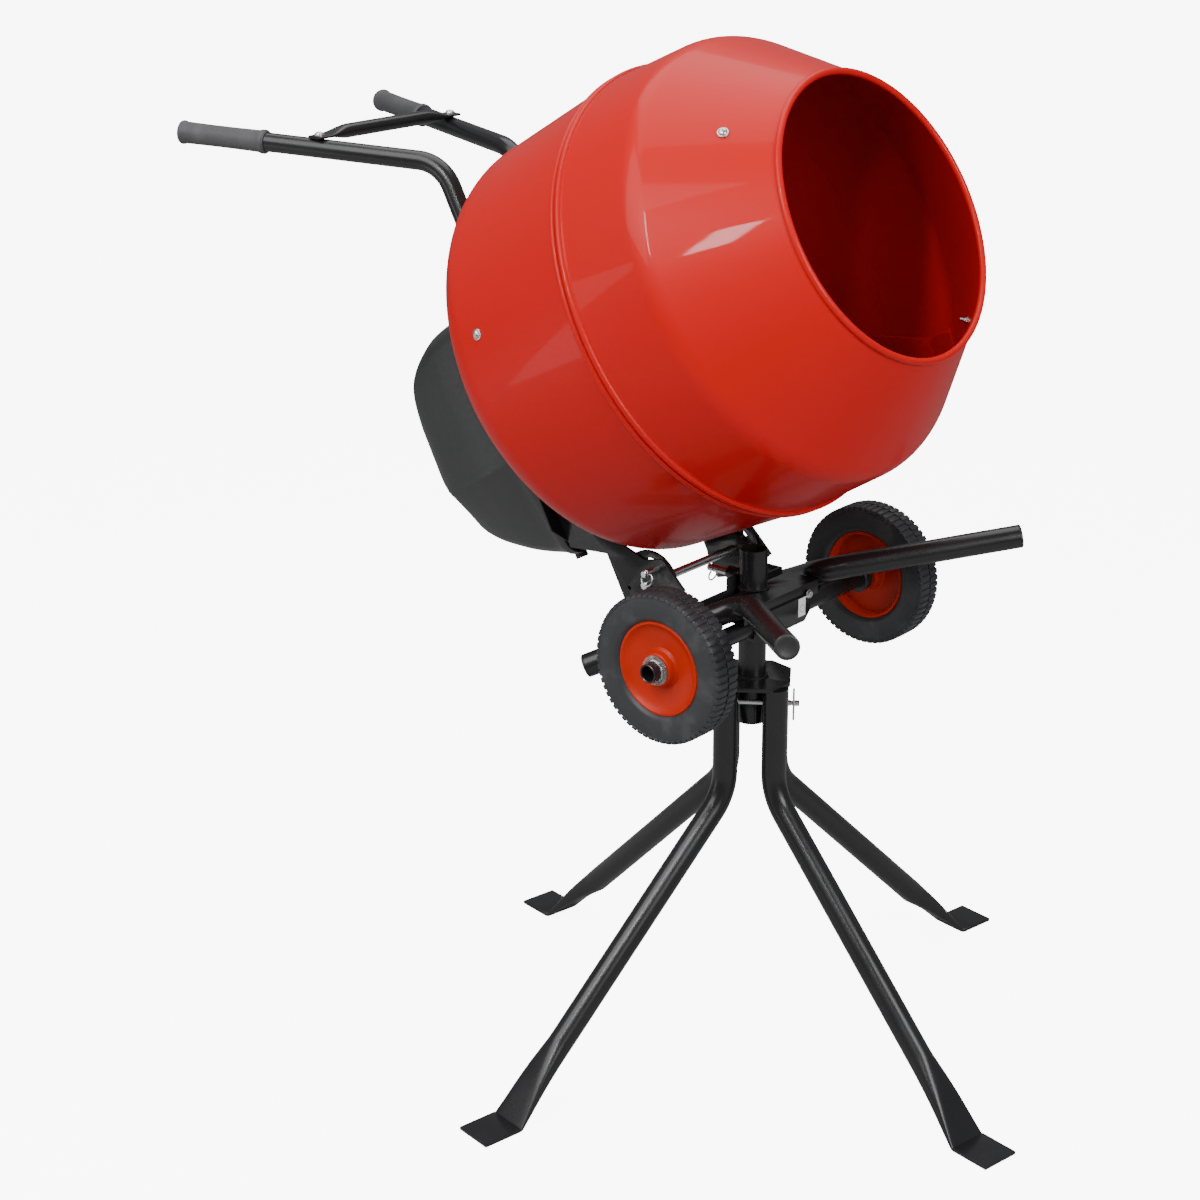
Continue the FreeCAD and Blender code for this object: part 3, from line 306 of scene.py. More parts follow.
def centreline(corners: Sequence[Vector], bends: Sequence[float], steps: int = 14) -> list[Vector]:
    """Open path whose inner corners are rounded.

    Args:
        corners: Corner points, ends included.
        bends: Radius at each inner corner.
        steps: Spans in each arc.

    Returns:
        The path's points.
    """
    line = [corners[0].copy()]
    for before, corner, after, bend in zip(corners, corners[1:], corners[2:], bends):
        line += corner_arc(before, corner, after, bend, steps)
    line.append(corners[-1].copy())
    return line


def corner_arc(before: Vector, corner: Vector, after: Vector, bend: float, steps: int) -> list[Vector]:
    """Points of the arc that rounds one corner."""
    back, ahead = (before - corner).normalized(), (after - corner).normalized()
    half = back.angle(ahead) / 2
    centre = corner + (back + ahead).normalized() * (bend / math.sin(half))
    first = corner + back * (bend / math.tan(half)) - centre
    last = corner + ahead * (bend / math.tan(half)) - centre
    turn = first.angle(last)
    points = []
    for step in range(steps + 1):
        share = step / steps
        arm = first * math.sin((1 - share) * turn) + last * math.sin(share * turn)
        points.append(centre + arm / math.sin(turn))
    return points


def closed_outline(corners: Sequence[Vector], bends: Sequence[float], steps: int = 6) -> list[Vector]:
    """Closed path whose corners are all rounded, with the same count of points at each corner."""
    count = len(corners)
    line = []
    for place, bend in enumerate(bends):
        line += corner_arc(corners[place - 1], corners[place], corners[(place + 1) % count], bend, steps)
    return line


def places_along(line: Sequence[Vector]) -> list[tuple[Vector, Vector, Vector]]:
    """Point, side and up at each point of a path, carried along without twist."""
    tangents = []
    for place, point in enumerate(line):
        ahead = line[min(place + 1, len(line) - 1)] - point
        behind = point - line[max(place - 1, 0)]
        tangents.append((ahead.normalized() + behind.normalized()).normalized())
    up = UP if abs(tangents[0].z) < 0.9 else FORWARD
    places = []
    for point, tangent in zip(line, tangents):
        up = (up - tangent * up.dot(tangent)).normalized()
        places.append((point, tangent.cross(up).normalized(), up.copy()))
    return places


def oval(place: tuple[Vector, Vector, Vector], wide: float, high: float, count: int, power: float = 2.0,
         shift: float = 0.0) -> list[Vector]:
    """Closed section at a place of a path.

    Args:
        place: Point, side and up.
        wide: Half width along the side.
        high: Half height along the up direction.
        count: Points in the section.
        power: 2 for an ellipse, more for a squarer section.
        shift: Offset along the up direction.

    Returns:
        The section's points.
    """
    point, side, up = place
    ring = []
    for step in range(count):
        angle = 2 * math.pi * step / count
        c, s = math.cos(angle), math.sin(angle)
        across = math.copysign(abs(c) ** (2 / power), c) * wide
        rise = math.copysign(abs(s) ** (2 / power), s) * high
        ring.append(point + side * across + up * (rise + shift))
    return ring


# ---------------------------------------------------------------- meshes

def new_object(name: str, mesh: bpy.types.Mesh) -> bpy.types.Object:
    """Links a mesh to the scene as an object at the origin."""
    piece = bpy.data.objects.new(name, mesh)
    bpy.context.scene.collection.objects.link(piece)
    return piece


def shade(mesh: bpy.types.Mesh, angle: float = SMOOTH_ANGLE) -> None:
    """Shades smooth, with edges sharper than an angle in degrees kept crisp."""
    mesh.shade_smooth()
    mesh.set_sharp_from_angle(angle=math.radians(angle))


def finished(name: str, work: bmesh.types.BMesh) -> bpy.types.Mesh:
    """Turns a worked mesh into a plain one and frees it."""
    mesh = bpy.data.meshes.new(name)
    work.to_mesh(mesh)
    work.free()
    return mesh


def loft(rings: Sequence[Sequence[Vector]], joined: bool = False) -> tuple[bmesh.types.BMesh, list]:
    """Worked mesh of quads through closed rings of equal count, and its rows of corners."""
    work = bmesh.new()
    rows = [[work.verts.new(point) for point in ring] for ring in rings]
    count = len(rings[0])
    spans = list(zip(rows, rows[1:])) + ([(rows[-1], rows[0])] if joined else [])
    for low, high in spans:
        for step in range(count):
            after = (step + 1) % count
            work.faces.new((low[step], low[after], high[after], high[step]))
    return work, rows


def settle(mesh: bpy.types.Mesh, angle: float = SMOOTH_ANGLE) -> None:
    """Merges doubles, faces everything outwards and shades smooth up to an angle."""
    work = bmesh.new()
    work.from_mesh(mesh)
    bmesh.ops.remove_doubles(work, verts=work.verts, dist=2e-6)
    bmesh.ops.recalc_face_normals(work, faces=work.faces)
    work.to_mesh(mesh)
    work.free()
    shade(mesh, angle)


def skin(name: str, rings: Sequence[Sequence[Vector]], joined: bool = False) -> bpy.types.Object:
    """Quad skin through closed rings of equal count.

    Args:
        name: The piece's name.
        rings: Sections in order.
        joined: Whether the last ring meets the first; if not, both end rings are filled.

    Returns:
        The new piece.
    """
    work, rows = loft(rings, joined)
    if not joined:
        work.faces.new(rows[0])
        work.faces.new(rows[-1])
    mesh = finished(name, work)
    settle(mesh)
    return new_object(name, mesh)


def hollow_tube(name: str, line: Sequence[Vector], radius: float, wall: float, count: int = 44,
                lip: float = 0.5 * MM) -> bpy.types.Object:
    """Open tube with a wall and eased rims, along a path."""
    places = places_along(line)
    run_in = (line[1] - line[0]).normalized() * lip
    run_out = (line[-2] - line[-1]).normalized() * lip
    trimmed = [(places[0][0] + run_in, *places[0][1:]), *places[1:-1],
               (places[-1][0] + run_out, *places[-1][1:])]
    bore = radius - wall
    rings = [oval(place, radius, radius, count) for place in trimmed]
    rings += [oval(places[-1], size, size, count) for size in (radius - lip, bore + lip)]
    rings += [oval(place, bore, bore, count) for place in reversed(trimmed)]
    rings += [oval(places[0], size, size, count) for size in (bore + lip, radius - lip)]
    return skin(name, rings, joined=True)


def turned(name: str, outline: Sequence[tuple[float, float]], axis: Axis, count: int = 48,
           joined: bool = False, angle: float = SMOOTH_ANGLE) -> bpy.types.Object:
    """Turned piece from an outline of (radius, height); a joined outline is a ring with a bore."""
    placement = axis.matrix()
    rings = []
    for radius, height in outline:
        ring = []
        for step in range(count):
            turn = 2 * math.pi * step / count
            ring.append(placement @ Vector((radius * math.cos(turn), radius * math.sin(turn), height)))
        rings.append(ring)
    piece = skin(name, rings, joined=joined)
    settle(piece.data, angle)
    return piece


def wire_ring(name: str, centre: Vector, normal: Vector, radius: float, wire: float) -> bpy.types.Object:
    """Round ring of wire."""
    outline = [(radius + wire * math.cos(math.radians(a)), wire * math.sin(math.radians(a)))
               for a in range(0, 360, 30)]
    return turned(name, outline, Axis(centre, normal), 40, joined=True, angle=80)


def softened(node: str, name: str, width: float) -> bpy.types.Object:
    """Copy of a CAD node's shape with its sharp edges eased.

    Args:
        node: The CAD node to copy.
        name: The new piece's name.
        width: Width of the eased edge.

    Returns:
        The new piece.
    """
    mesh = frame["nodes"][node].data.copy()
    mesh.name = name
    mesh.materials.clear()
    work = bmesh.new()
    work.from_mesh(mesh)
    bmesh.ops.remove_doubles(work, verts=work.verts, dist=1e-5)
    bmesh.ops.dissolve_limit(work, angle_limit=math.radians(FLAT_ANGLE), verts=work.verts, edges=work.edges)
    work.to_mesh(mesh)
    work.free()
    for attribute in [item.name for item in mesh.attributes if item.name == "custom_normal"]:
        mesh.attributes.remove(mesh.attributes[attribute])
    piece = new_object(name, mesh)
    bevel = piece.modifiers.new("eased", "BEVEL")
    bevel.width = width
    bevel.segments = 2
    bevel.limit_method = "ANGLE"
    bevel.angle_limit = math.radians(EASED_ANGLE)
    bevel.harden_normals = True
    bevel.use_clamp_overlap = True
    mesh.shade_smooth()
    applied(piece)
    piece.data.set_sharp_from_angle(angle=math.radians(SMOOTH_ANGLE))
    return piece


def applied(piece: bpy.types.Object) -> bpy.types.Object:
    """Replaces a piece's mesh by what its modifiers make of it, and removes the modifiers."""
    graph = bpy.context.evaluated_depsgraph_get()
    mesh = bpy.data.meshes.new_from_object(piece.evaluated_get(graph))
    mesh.name = piece.name
    piece.modifiers.clear()
    piece.data = mesh
    return piece


def merged(name: str, pieces: Iterable[bpy.types.Object]) -> bpy.types.Object:
    """One piece made of several."""
    work = bmesh.new()
    for piece in pieces:
        work.from_mesh(piece.data)
        bpy.data.objects.remove(piece)
    mesh = finished(name, work)
    shade(mesh)
    return new_object(name, mesh)


def fit(piece: bpy.types.Object, finish: Finish, body: str, *replaced: str) -> bpy.types.Object:
    """Gives a finished piece its material, its body and the CAD nodes that it stands for."""
    piece.data.materials.clear()
    piece.data.materials.append(finish.material())
    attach(piece, body)
    if replaced:
        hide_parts(*replaced)
    LOG.info("%s rides on %s, %d faces", piece.name, body, len(piece.data.polygons))
    return piece


def fit_softened(node: str, name: str, ease: float, finish: Finish, body: str) -> None:
    """Fits the softened copy of a CAD node in its place; the ease is in millimetres."""
    fit(softened(node, name, ease * MM), finish, body, node)


# ---------------------------------------------------------------- geometry nodes

class Tree:
    """A Geometry Nodes tree with named inputs."""

    def __init__(self, name: str, inputs: dict[str, str]) -> None:
        """Starts the tree.

        Args:
            name: The tree's name.
            inputs: Input names and their socket types.
        """
        self.group = bpy.data.node_groups.new(name, "GeometryNodeTree")
        self.group.interface.new_socket("Geometry", in_out="OUTPUT", socket_type="NodeSocketGeometry")
        self.group.interface.new_socket("Geometry", in_out="INPUT", socket_type="NodeSocketGeometry")
        for label, kind in inputs.items():
            self.group.interface.new_socket(label, in_out="INPUT", socket_type=kind)
        self.start = self.group.nodes.new("NodeGroupInput")
        self.end = self.group.nodes.new("NodeGroupOutput")

    def node(self, kind: str, **inputs: object) -> bpy.types.Node:
        """Adds a node; a socket is linked to its input and anything else is set as its value."""
        node = self.group.nodes.new(kind)
        for label, value in inputs.items():
            self.feed(node, label.replace("_", " "), value)
        return node

    def feed(self, node: bpy.types.Node, label: str, value: object) -> None:
        """Links a socket to a node's input, or sets the input's value."""
        socket = node.inputs[label]
        if isinstance(value, bpy.types.NodeSocket):
            self.group.links.new(value, socket)
        else:
            socket.default_value = value

    def close(self, geometry: bpy.types.NodeSocket) -> None:
        """Ends the tree in Realize Instances and Set Material."""
        real = self.node("GeometryNodeRealizeInstances", Geometry=geometry)
        dressed = self.node("GeometryNodeSetMaterial", Geometry=real.outputs[0],
                            Material=self.start.outputs["Material"])
        self.group.links.new(dressed.outputs[0], self.end.inputs[0])

    def run(self, piece: bpy.types.Object, values: dict[str, object]) -> bpy.types.Object:
        """Evaluates the tree on a piece and keeps the result as its plain mesh.

        Args:
            piece: The object whose mesh goes in.
            values: Value of each named input.

        Returns:
            The same object with the new mesh and no modifier.
        """
        modifier = piece.modifiers.new(self.group.name, "NODES")
        modifier.node_group = self.group
        for item in self.group.interface.items_tree:
            if item.in_out == "INPUT" and item.name in values:
                modifier[item.identifier] = values[item.name]
        return applied(piece)


def spin_tree() -> Tree:
    """Tree that spins a closed outline about Z; the outline's X is radius less the spin radius."""
    tree = Tree("spun_sheet", {"Spin Radius": "NodeSocketFloat", "Spans": "NodeSocketInt",
                               "Material": "NodeSocketMaterial"})
    outline = tree.node("GeometryNodeMeshToCurve", Mesh=tree.start.outputs["Geometry"])
    circle = tree.node("GeometryNodeCurvePrimitiveCircle", Radius=tree.start.outputs["Spin Radius"],
                       Resolution=tree.start.outputs["Spans"])
    sheet = tree.group.nodes.new("GeometryNodeCurveToMesh")
    tree.feed(sheet, "Curve", circle.outputs["Curve"])
    tree.feed(sheet, "Profile Curve", outline.outputs["Curve"])
    tree.close(sheet.outputs["Mesh"])
    return tree


def repeat_tree() -> Tree:
    """Tree that repeats a piece by equal turns about Z and equal steps."""
    tree = Tree("repeated_piece", {"Piece": "NodeSocketObject", "Count": "NodeSocketInt",
                                   "Step": "NodeSocketVector", "Turn": "NodeSocketFloat",
                                   "First Turn": "NodeSocketFloat", "Material": "NodeSocketMaterial"})
    start = tree.start.outputs
    line = tree.node("GeometryNodeMeshLine", Count=start["Count"], Offset=start["Step"])
    index = tree.node("GeometryNodeInputIndex")
    angle = tree.group.nodes.new("ShaderNodeMath")
    angle.operation = "MULTIPLY_ADD"
    tree.group.links.new(index.outputs[0], angle.inputs[0])
    tree.group.links.new(start["Turn"], angle.inputs[1])
    tree.group.links.new(start["First Turn"], angle.inputs[2])
    turn = tree.node("ShaderNodeCombineXYZ", Z=angle.outputs[0])
    source = tree.node("GeometryNodeObjectInfo", Object=start["Piece"])
    spread = tree.node("GeometryNodeInstanceOnPoints", Points=line.outputs["Mesh"],
                       Instance=source.outputs["Geometry"], Rotation=turn.outputs[0])
    tree.close(spread.outputs["Instances"])
    return tree


SPIN = spin_tree()
REPEAT = repeat_tree()


def spun_sheet(name: str, outline: Sequence[tuple[float, float]], axis: Axis, finish: Finish,
               spans: int = 160, angle: float = 40.0) -> bpy.types.Object:
    """Ring-shaped sheet from a closed outline of (radius, height).

    Args:
        name: The piece's name.
        outline: Closed outline in order.
        axis: The line that it is spun about.
        finish: Finish of the sheet.
        spans: Facets round the axis.
        angle: Edges sharper than this stay crisp.

    Returns:
        The new piece.
    """
    spin_radius = 0.1
    mesh = bpy.data.meshes.new(name)
    points = [(radius - spin_radius, -height, 0) for radius, height in outline]
    edges = [(place, (place + 1) % len(points)) for place in range(len(points))]
    mesh.from_pydata(points, edges, [])
    piece = SPIN.run(new_object(name, mesh), {"Spin Radius": spin_radius, "Spans": spans,
                                              "Material": finish.material()})
    piece.data.transform(axis.matrix())
    settle(piece.data, angle)
    return piece


def repeated(name: str, piece: bpy.types.Object, count: int, finish: Finish, axis: Axis | None = None,
             turn: float = 0.0, first: float = 0.0, step: Vector | None = None) -> bpy.types.Object:
    """Copies of a piece at equal turns or steps, as one piece; the pattern piece is removed.

    Args:
        name: The new piece's name.
        piece: The pattern, drawn where its first copy goes in the axis's frame.
        count: How many copies.
        finish: Finish of the copies.
        axis: Placement of the pattern's frame; the row's own frame if None.
        turn: Turn from one copy to the next, in degrees.
        first: Turn of the first copy, in degrees.
        step: Step from one copy to the next.

    Returns:
        The new piece.
    """
    carrier = new_object(name, bpy.data.meshes.new(name))
    REPEAT.run(carrier, {"Piece": piece, "Count": count, "Step": step or Vector((0, 0, 0)),
                         "Turn": math.radians(turn), "First Turn": math.radians(first),
                         "Material": finish.material()})
    bpy.data.objects.remove(piece)
    if axis:
        carrier.data.transform(axis.matrix())
    shade(carrier.data)
    return carrier


def eased_block(name: str, low: Vector, high: Vector, ease: float, lean: float = 1.0) -> bpy.types.Object:
    """Small block with eased edges whose +X face is narrowed along Y by the lean."""
    work = bmesh.new()
    bmesh.ops.create_cube(work, size=1)
    middle, span = (low + high) / 2, high - low
    for corner in work.verts:
        narrow = lean if corner.co.x > 0 else 1.0
        corner.co = Vector((middle.x + corner.co.x * span.x, middle.y + corner.co.y * span.y * narrow,
                            middle.z + corner.co.z * span.z))
    bmesh.ops.bevel(work, geom=work.edges[:], offset=ease, segments=1, affect="EDGES")
    return new_object(name, finished(name, work))


# ---------------------------------------------------------------- stand

@dataclass
class Stand:
    """Four bent tube legs under a head plate, with the cross pin and its clip."""

    turn: float = -55.5
    tube: float = 17 * MM
    circle: float = 47 * MM
    drop: float = 118 * MM
    bend: float = 75 * MM
    foot_reach: float = 486 * MM
    foot_length: float = 60 * MM
    foot_wide: float = 29 * MM
    foot_thick: float = 2.5 * MM
    flat_length: float = 125 * MM
    ring_count: int = 56
    press_steps: int = 14
    legs: tuple[tuple[str, float], ...] = (("front_left", 45), ("rear_left", 135), ("rear_right", 225),
                                           ("front_right", 315))

    def build(self) -> None:
        """Builds and dresses the whole stand."""
        for name, angle in self.legs:
            fit(self.leg(name, angle + self.turn), BLACK_POWDER, "stand", "leg_" + name)
        fit_softened("stand_head", "head_casting", 1.2, BLACK_POWDER, "stand")
        fit(self.cross_pin(), ZINC, "stand_pin", "stand_cross_pin")
        fit(self.clip(), ZINC, "clip", "r_clip")

    def leg(self, name: str, angle: float) -> bpy.types.Object:
        """One leg: straight down, out to the ground, and pressed flat into a foot.

        Args:
            name: Which leg.
            angle: Its direction in degrees about +Z.

        Returns:
            The leg.
        """
        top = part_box("leg_" + name)[1].z
        knee = Vector((self.circle, 0, top - self.drop - self.bend / 2))
        heel = Vector((self.foot_reach - self.foot_length, 0, self.foot_thick))
        line = centreline([Vector((self.circle, 0, top)), knee, heel], [self.bend])
        slope = (heel - knee).normalized()
        neck = heel - slope * self.flat_length
        line = line[:-1] + [line[-2].lerp(neck, share / 6) for share in range(1, 7)]
        rings = [oval(place, self.tube, self.tube, self.ring_count) for place in self.level(line)]
        normal = Vector((-slope.z, 0, slope.x))
        for step in range(1, self.press_steps + 1):
            share = step / self.press_steps
            press = share ** 1.25
            wide = self.tube + (self.foot_wide - self.tube) * press
            high = self.tube + (self.foot_thick - self.tube) * press ** 0.8
            place = (neck.lerp(heel, share), ACROSS, normal)
            crown = 0.25 * high * math.sin(press * 3)
            rings.append(oval(place, wide, high, self.ring_count, 2 + 4 * press, crown))
        rings += self.pad(heel)
        leg = skin("stand_leg_" + name, rings)
        leg.data.transform(Matrix.Rotation(math.radians(angle), 4, "Z"))
        return leg

    @staticmethod
    def level(line: Sequence[Vector]) -> list[tuple[Vector, Vector, Vector]]:
        """Places along a path in the XZ plane whose side is always +Y."""
        side = ACROSS
        return [(point, side, Stand.heading(line, index).cross(side)) for index, point in enumerate(line)]

    @staticmethod
    def heading(line: Sequence[Vector], index: int) -> Vector:
        """Direction of a path at one of its points."""
        ahead = line[min(index + 1, len(line) - 1)]
        behind = line[max(index - 1, 0)]
        return (ahead - behind).normalized()

    def pad(self, heel: Vector) -> list[list[Vector]]:
        """Sections of the flat foot from the heel to its squared tip."""
        rings = []
        tip = self.foot_length
        ease = 0.8 * MM
        for reach, shrink in ((3 * MM, 0), (tip * 0.5, 0), (tip - 2 * MM, 0), (tip - ease, 0), (tip, ease)):
            place = (heel + Vector((reach, 0, 0)), ACROSS, UP)
            wide, high = self.foot_wide - shrink, self.foot_thick - shrink
            rings.append(oval(place, wide, high, self.ring_count, 14))
        return rings

    def cross_pin(self) -> bpy.types.Object:
        """Plated cross pin with chamfered ends and a head groove."""
        low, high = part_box("stand_cross_pin")
        along = Vector(joint("stand_pin_pull")["axis"])
        middle = (low + high) / 2
        radius = (high.z - low.z) / 2
        half = (math.hypot(high.x - low.x, high.y - low.y) - 2 * radius) / 2
        outline = [(0, -half), *near(radius, -half, (-1, 0), (0, 1)),
                   *near(radius, half, (0, -12), (-0.8, -11.4), (-0.8, -9.6), (0, -9), (0, -1), (-1, 0)),
                   (0, half)]
        return turned("stand_cross_pin_bar", outline, Axis(middle, along), 36)

    def clip(self) -> bpy.types.Object:
        """Waved spring clip on the cross pin's end."""
        low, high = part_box("r_clip")
        turn = Matrix.Rotation(math.radians(self.turn), 4, "Z")
        middle = turn.inverted() @ ((low + high) / 2)
        height = (high.z - low.z) / 2
        wire = 1.4 * MM
        reach = 4.6 * MM
        route = ((-reach, -height + MM), (-reach, height - wire), (reach, height - wire), (reach, 9 * MM),
                 (reach - 3 * MM, 0), (reach, -9 * MM), (reach, -height + 3 * MM))
        corners = [Vector((x, 0, z)) for x, z in route]
        line = centreline(corners, [4.4 * MM, 4.4 * MM, 6 * MM, 7 * MM, 6 * MM], 8)
        rings = [oval(place, wire, wire, 14) for place in places_along(line)]
        piece = skin("spring_clip", rings)
        piece.data.transform(turn @ Matrix.Translation(middle))
        return piece


# ---------------------------------------------------------------- rolling frame

@dataclass
class RollingFrame:
    """Post, cross tube, foot tubes, axle, tilt brackets and their pins."""

    arm: float = 16 * MM
    arm_wall: float = 2 * MM
    arm_bend: float = 45 * MM
    knee: tuple[float, float, float] = (0.052, 0.084, 0.668)
    front: tuple[float, float, float] = (0.249, 0.267, 0.711)
    rear: tuple[float, float, float] = (-0.118, 0.205, 0.576)
    post_wall: float = 2 * MM
    axle_wall: float = 2.5 * MM
    wheel_inner: float = 209 * MM
    pin_radius: float = 5 * MM
    pull_ring: float = 9 * MM

    def build(self) -> None:
        """Builds and dresses the rolling frame."""
        low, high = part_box("upright_post")
        middle = (low + high) / 2
        line = [Vector((middle.x, middle.y, z)) for z in (low.z, (low.z + high.z) / 2, high.z)]
        radius = (high.x - low.x) / 2
        fit(hollow_tube("post_tube", line, radius, self.post_wall, 64), BLACK_POWDER, "mixer_frame",
            "upright_post")
        fit(self.weld_ring("post_weld", Vector((0, 0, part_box("cross_tube")[1].z)), radius), BLACK_POWDER,
            "mixer_frame")
        plugs = []
        for name, side in SIDES.items():
            corners = [Vector((x, side * y, z)) for x, y, z in (self.front, self.knee, self.rear)]
            line = centreline(corners, [self.arm_bend])
            tube = hollow_tube("foot_bar_" + name, line, self.arm, self.arm_wall)
            fit(tube, BLACK_POWDER, "mixer_frame", "foot_tube_" + name)
            plugs += [self.end_plug(corners[0], corners[1]), self.end_plug(corners[2], corners[1])]
        fit(merged("foot_bar_plugs", plugs), BLACK_PLASTIC, "mixer_frame", "foot_tube_plugs")
        self.axle()
        fit_softened("cross_tube", "cross_tube_plate", 1.6, BLACK_POWDER, "mixer_frame")
        for node in ("axle_bracket", "pivot_web", "pivot_lug_left", "pivot_lug_right"):
            fit_softened(node, node + "_plate", 0.7, BLACK_POWDER, "mixer_frame")
        self.pins()
        self.plate_trim()

    def end_plug(self, tip: Vector, inner: Vector) -> bpy.types.Object:
        """Domed plastic plug in a tube's end."""
        radius, bore = self.arm, self.arm - self.arm_wall
        outline = [(0, -12 * MM), *near(bore, 0, (-1, -12), (0, -11), (0, 0)),
                   *near(radius, 0, (0, 0), (0, 1.6), (-0.5, 2.5), (-1.4, 3), (-5, 3), (-6, 2.4)),
                   (0, 2.4 * MM)]
        return turned("plug", outline, Axis(tip, tip - inner), 48)

    @staticmethod
    def weld_ring(name: str, centre: Vector, radius: float) -> bpy.types.Object:
        """Rippled weld bead round an upright tube."""
        bead = eased_block("ripple", Vector((radius - 1.5 * MM, -2.2 * MM, -0.5 * MM)),
                           Vector((radius + 2.4 * MM, 2.2 * MM, 3 * MM)), 1.3 * MM, 0.6)
        return repeated(name, bead, 40, BLACK_POWDER, Axis(centre, UP), turn=9)

    def axle(self) -> None:
        """Tube axle and the clear caps that keep the wheels on."""
        low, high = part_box("wheel_axle")
        middle = (low + high) / 2
        radius = (high.z - low.z) / 2
        line = [Vector((middle.x, y, middle.z)) for y in (low.y, middle.y, high.y)]
        fit(hollow_tube("axle_tube", line, radius, self.axle_wall, 48, 0.8 * MM), BLACK_POWDER, "mixer_frame",
            "wheel_axle")
        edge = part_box("axle_end_washers")
        big = (edge[1].z - edge[0].z) / 2
        caps, spacers = [], []
        for side in SIDES.values():
            outwards = Vector((0, side, 0))
            hub = Axis(Vector((middle.x, side * (edge[1].y - 3 * MM), middle.z)), outwards, FORWARD)
            outline = [*near(radius, 0, (0.15, 0.3)),
                       *near(big, 0, (-1, 0.3), (0, 0.9), (-0.4, 1.8), (-5, 2.2)),
                       *near(radius, 0, (2.6, 3.2), (1.6, 4.4), (0.9, 4.6), (0.15, 4.2))]
            caps.append(turned("cap", outline, hub, 56, joined=True))
            inner = Axis(Vector((middle.x, side * (self.wheel_inner - 17 * MM), middle.z)), outwards)
            outline = [*near(radius, 0, (0.1, 0)), *near(0, 0, (18, 0), (19.4, 1.4), (19.4, 14), (18.6, 15)),
                       *near(radius, 0, (0.1, 15))]
            spacers.append(turned("spacer", outline, inner, 48, joined=True))
        fit(merged("axle_caps", caps), CLEAR_PLASTIC, "mixer_frame", "axle_end_washers")
        fit(merged("axle_spacers", spacers), BLACK_PLASTIC, "mixer_frame")

    def pins(self) -> None:
        """Tilt bar, lock pin and stop pin, with their rings."""
        low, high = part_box("tilt_pivot_bar")
        size = high - low
        tilt_bar = self.bar("tilt_bar", (low + high) / 2, ACROSS, size.y / 2, size.z / 2)
        fit(tilt_bar, ZINC, "mixer_frame", "tilt_pivot_bar")
        for node, body in (("swivel_lock_pin", "lock_pin"), ("tilt_stop_pin", "stop_pin")):
            low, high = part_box(node)
            slide = Vector(joint(body + "_pull")["axis"])
            middle = (low + high) / 2
            middle.z = high.z - self.pin_radius
            half = (high - low).dot(Vector((abs(slide.x), abs(slide.y), 0))) / 2
            bar = self.bar(node + "_bar", middle, slide, half, self.pin_radius)
            eye = middle + slide * (half - 8 * MM)
            ring = wire_ring("ring", eye - Vector((0, 0, self.pull_ring)), slide + Vector((0, 0, 0.25)),
                             self.pull_ring, 1.2 * MM)
            fit(merged(node + "_and_ring", [bar, ring]), ZINC, body, node)

    @staticmethod
    def bar(name: str, middle: Vector, along: Vector, half: float, radius: float) -> bpy.types.Object:
        """Round bar with chamfered, grooved ends."""
        outline = [(0, -half), *near(radius, -half, (-1.2, 0), (0, 1.2)),
                   *near(radius, half, (0, -5), (-0.7, -4.6), (-0.7, -3.4), (0, -3), (0, -1.2), (-1.2, 0)),
                   (0, half)]
        return turned(name, outline, Axis(middle, along, UP), 32)

    def plate_trim(self) -> None:
        """Blank label with a printed ring mark, and the plated bolt above the axle."""
        low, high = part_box("axle_bracket")
        face = high.x
        label = eased_block("label", Vector((face, 34 * MM, low.z + 9 * MM)),
                            Vector((face + 0.25 * MM, 50 * MM, low.z + 35 * MM)), 0.1 * MM)
        fit(merged("label_plate", [label]), LABEL, "mixer_frame")
        centre = Vector((face + 0.2 * MM, 42 * MM, low.z + 20 * MM))
        mark = wire_ring("label_mark", centre, FORWARD, 5 * MM, 0.35 * MM)
        fit(mark, LABEL_INK, "mixer_frame")
        seat = Vector((face, 56 * MM, low.z + 37 * MM))
        outline = near(0, 0, (0, 0), (6.5, 0), (6.5, 1.2), (5, 1.4), (5, 4.6), (4.2, 5.2), (0, 5.2))
        fit(turned("bracket_bolt", outline, Axis(seat, FORWARD), 6, angle=20), ZINC, "mixer_frame")


# ---------------------------------------------------------------- wheels

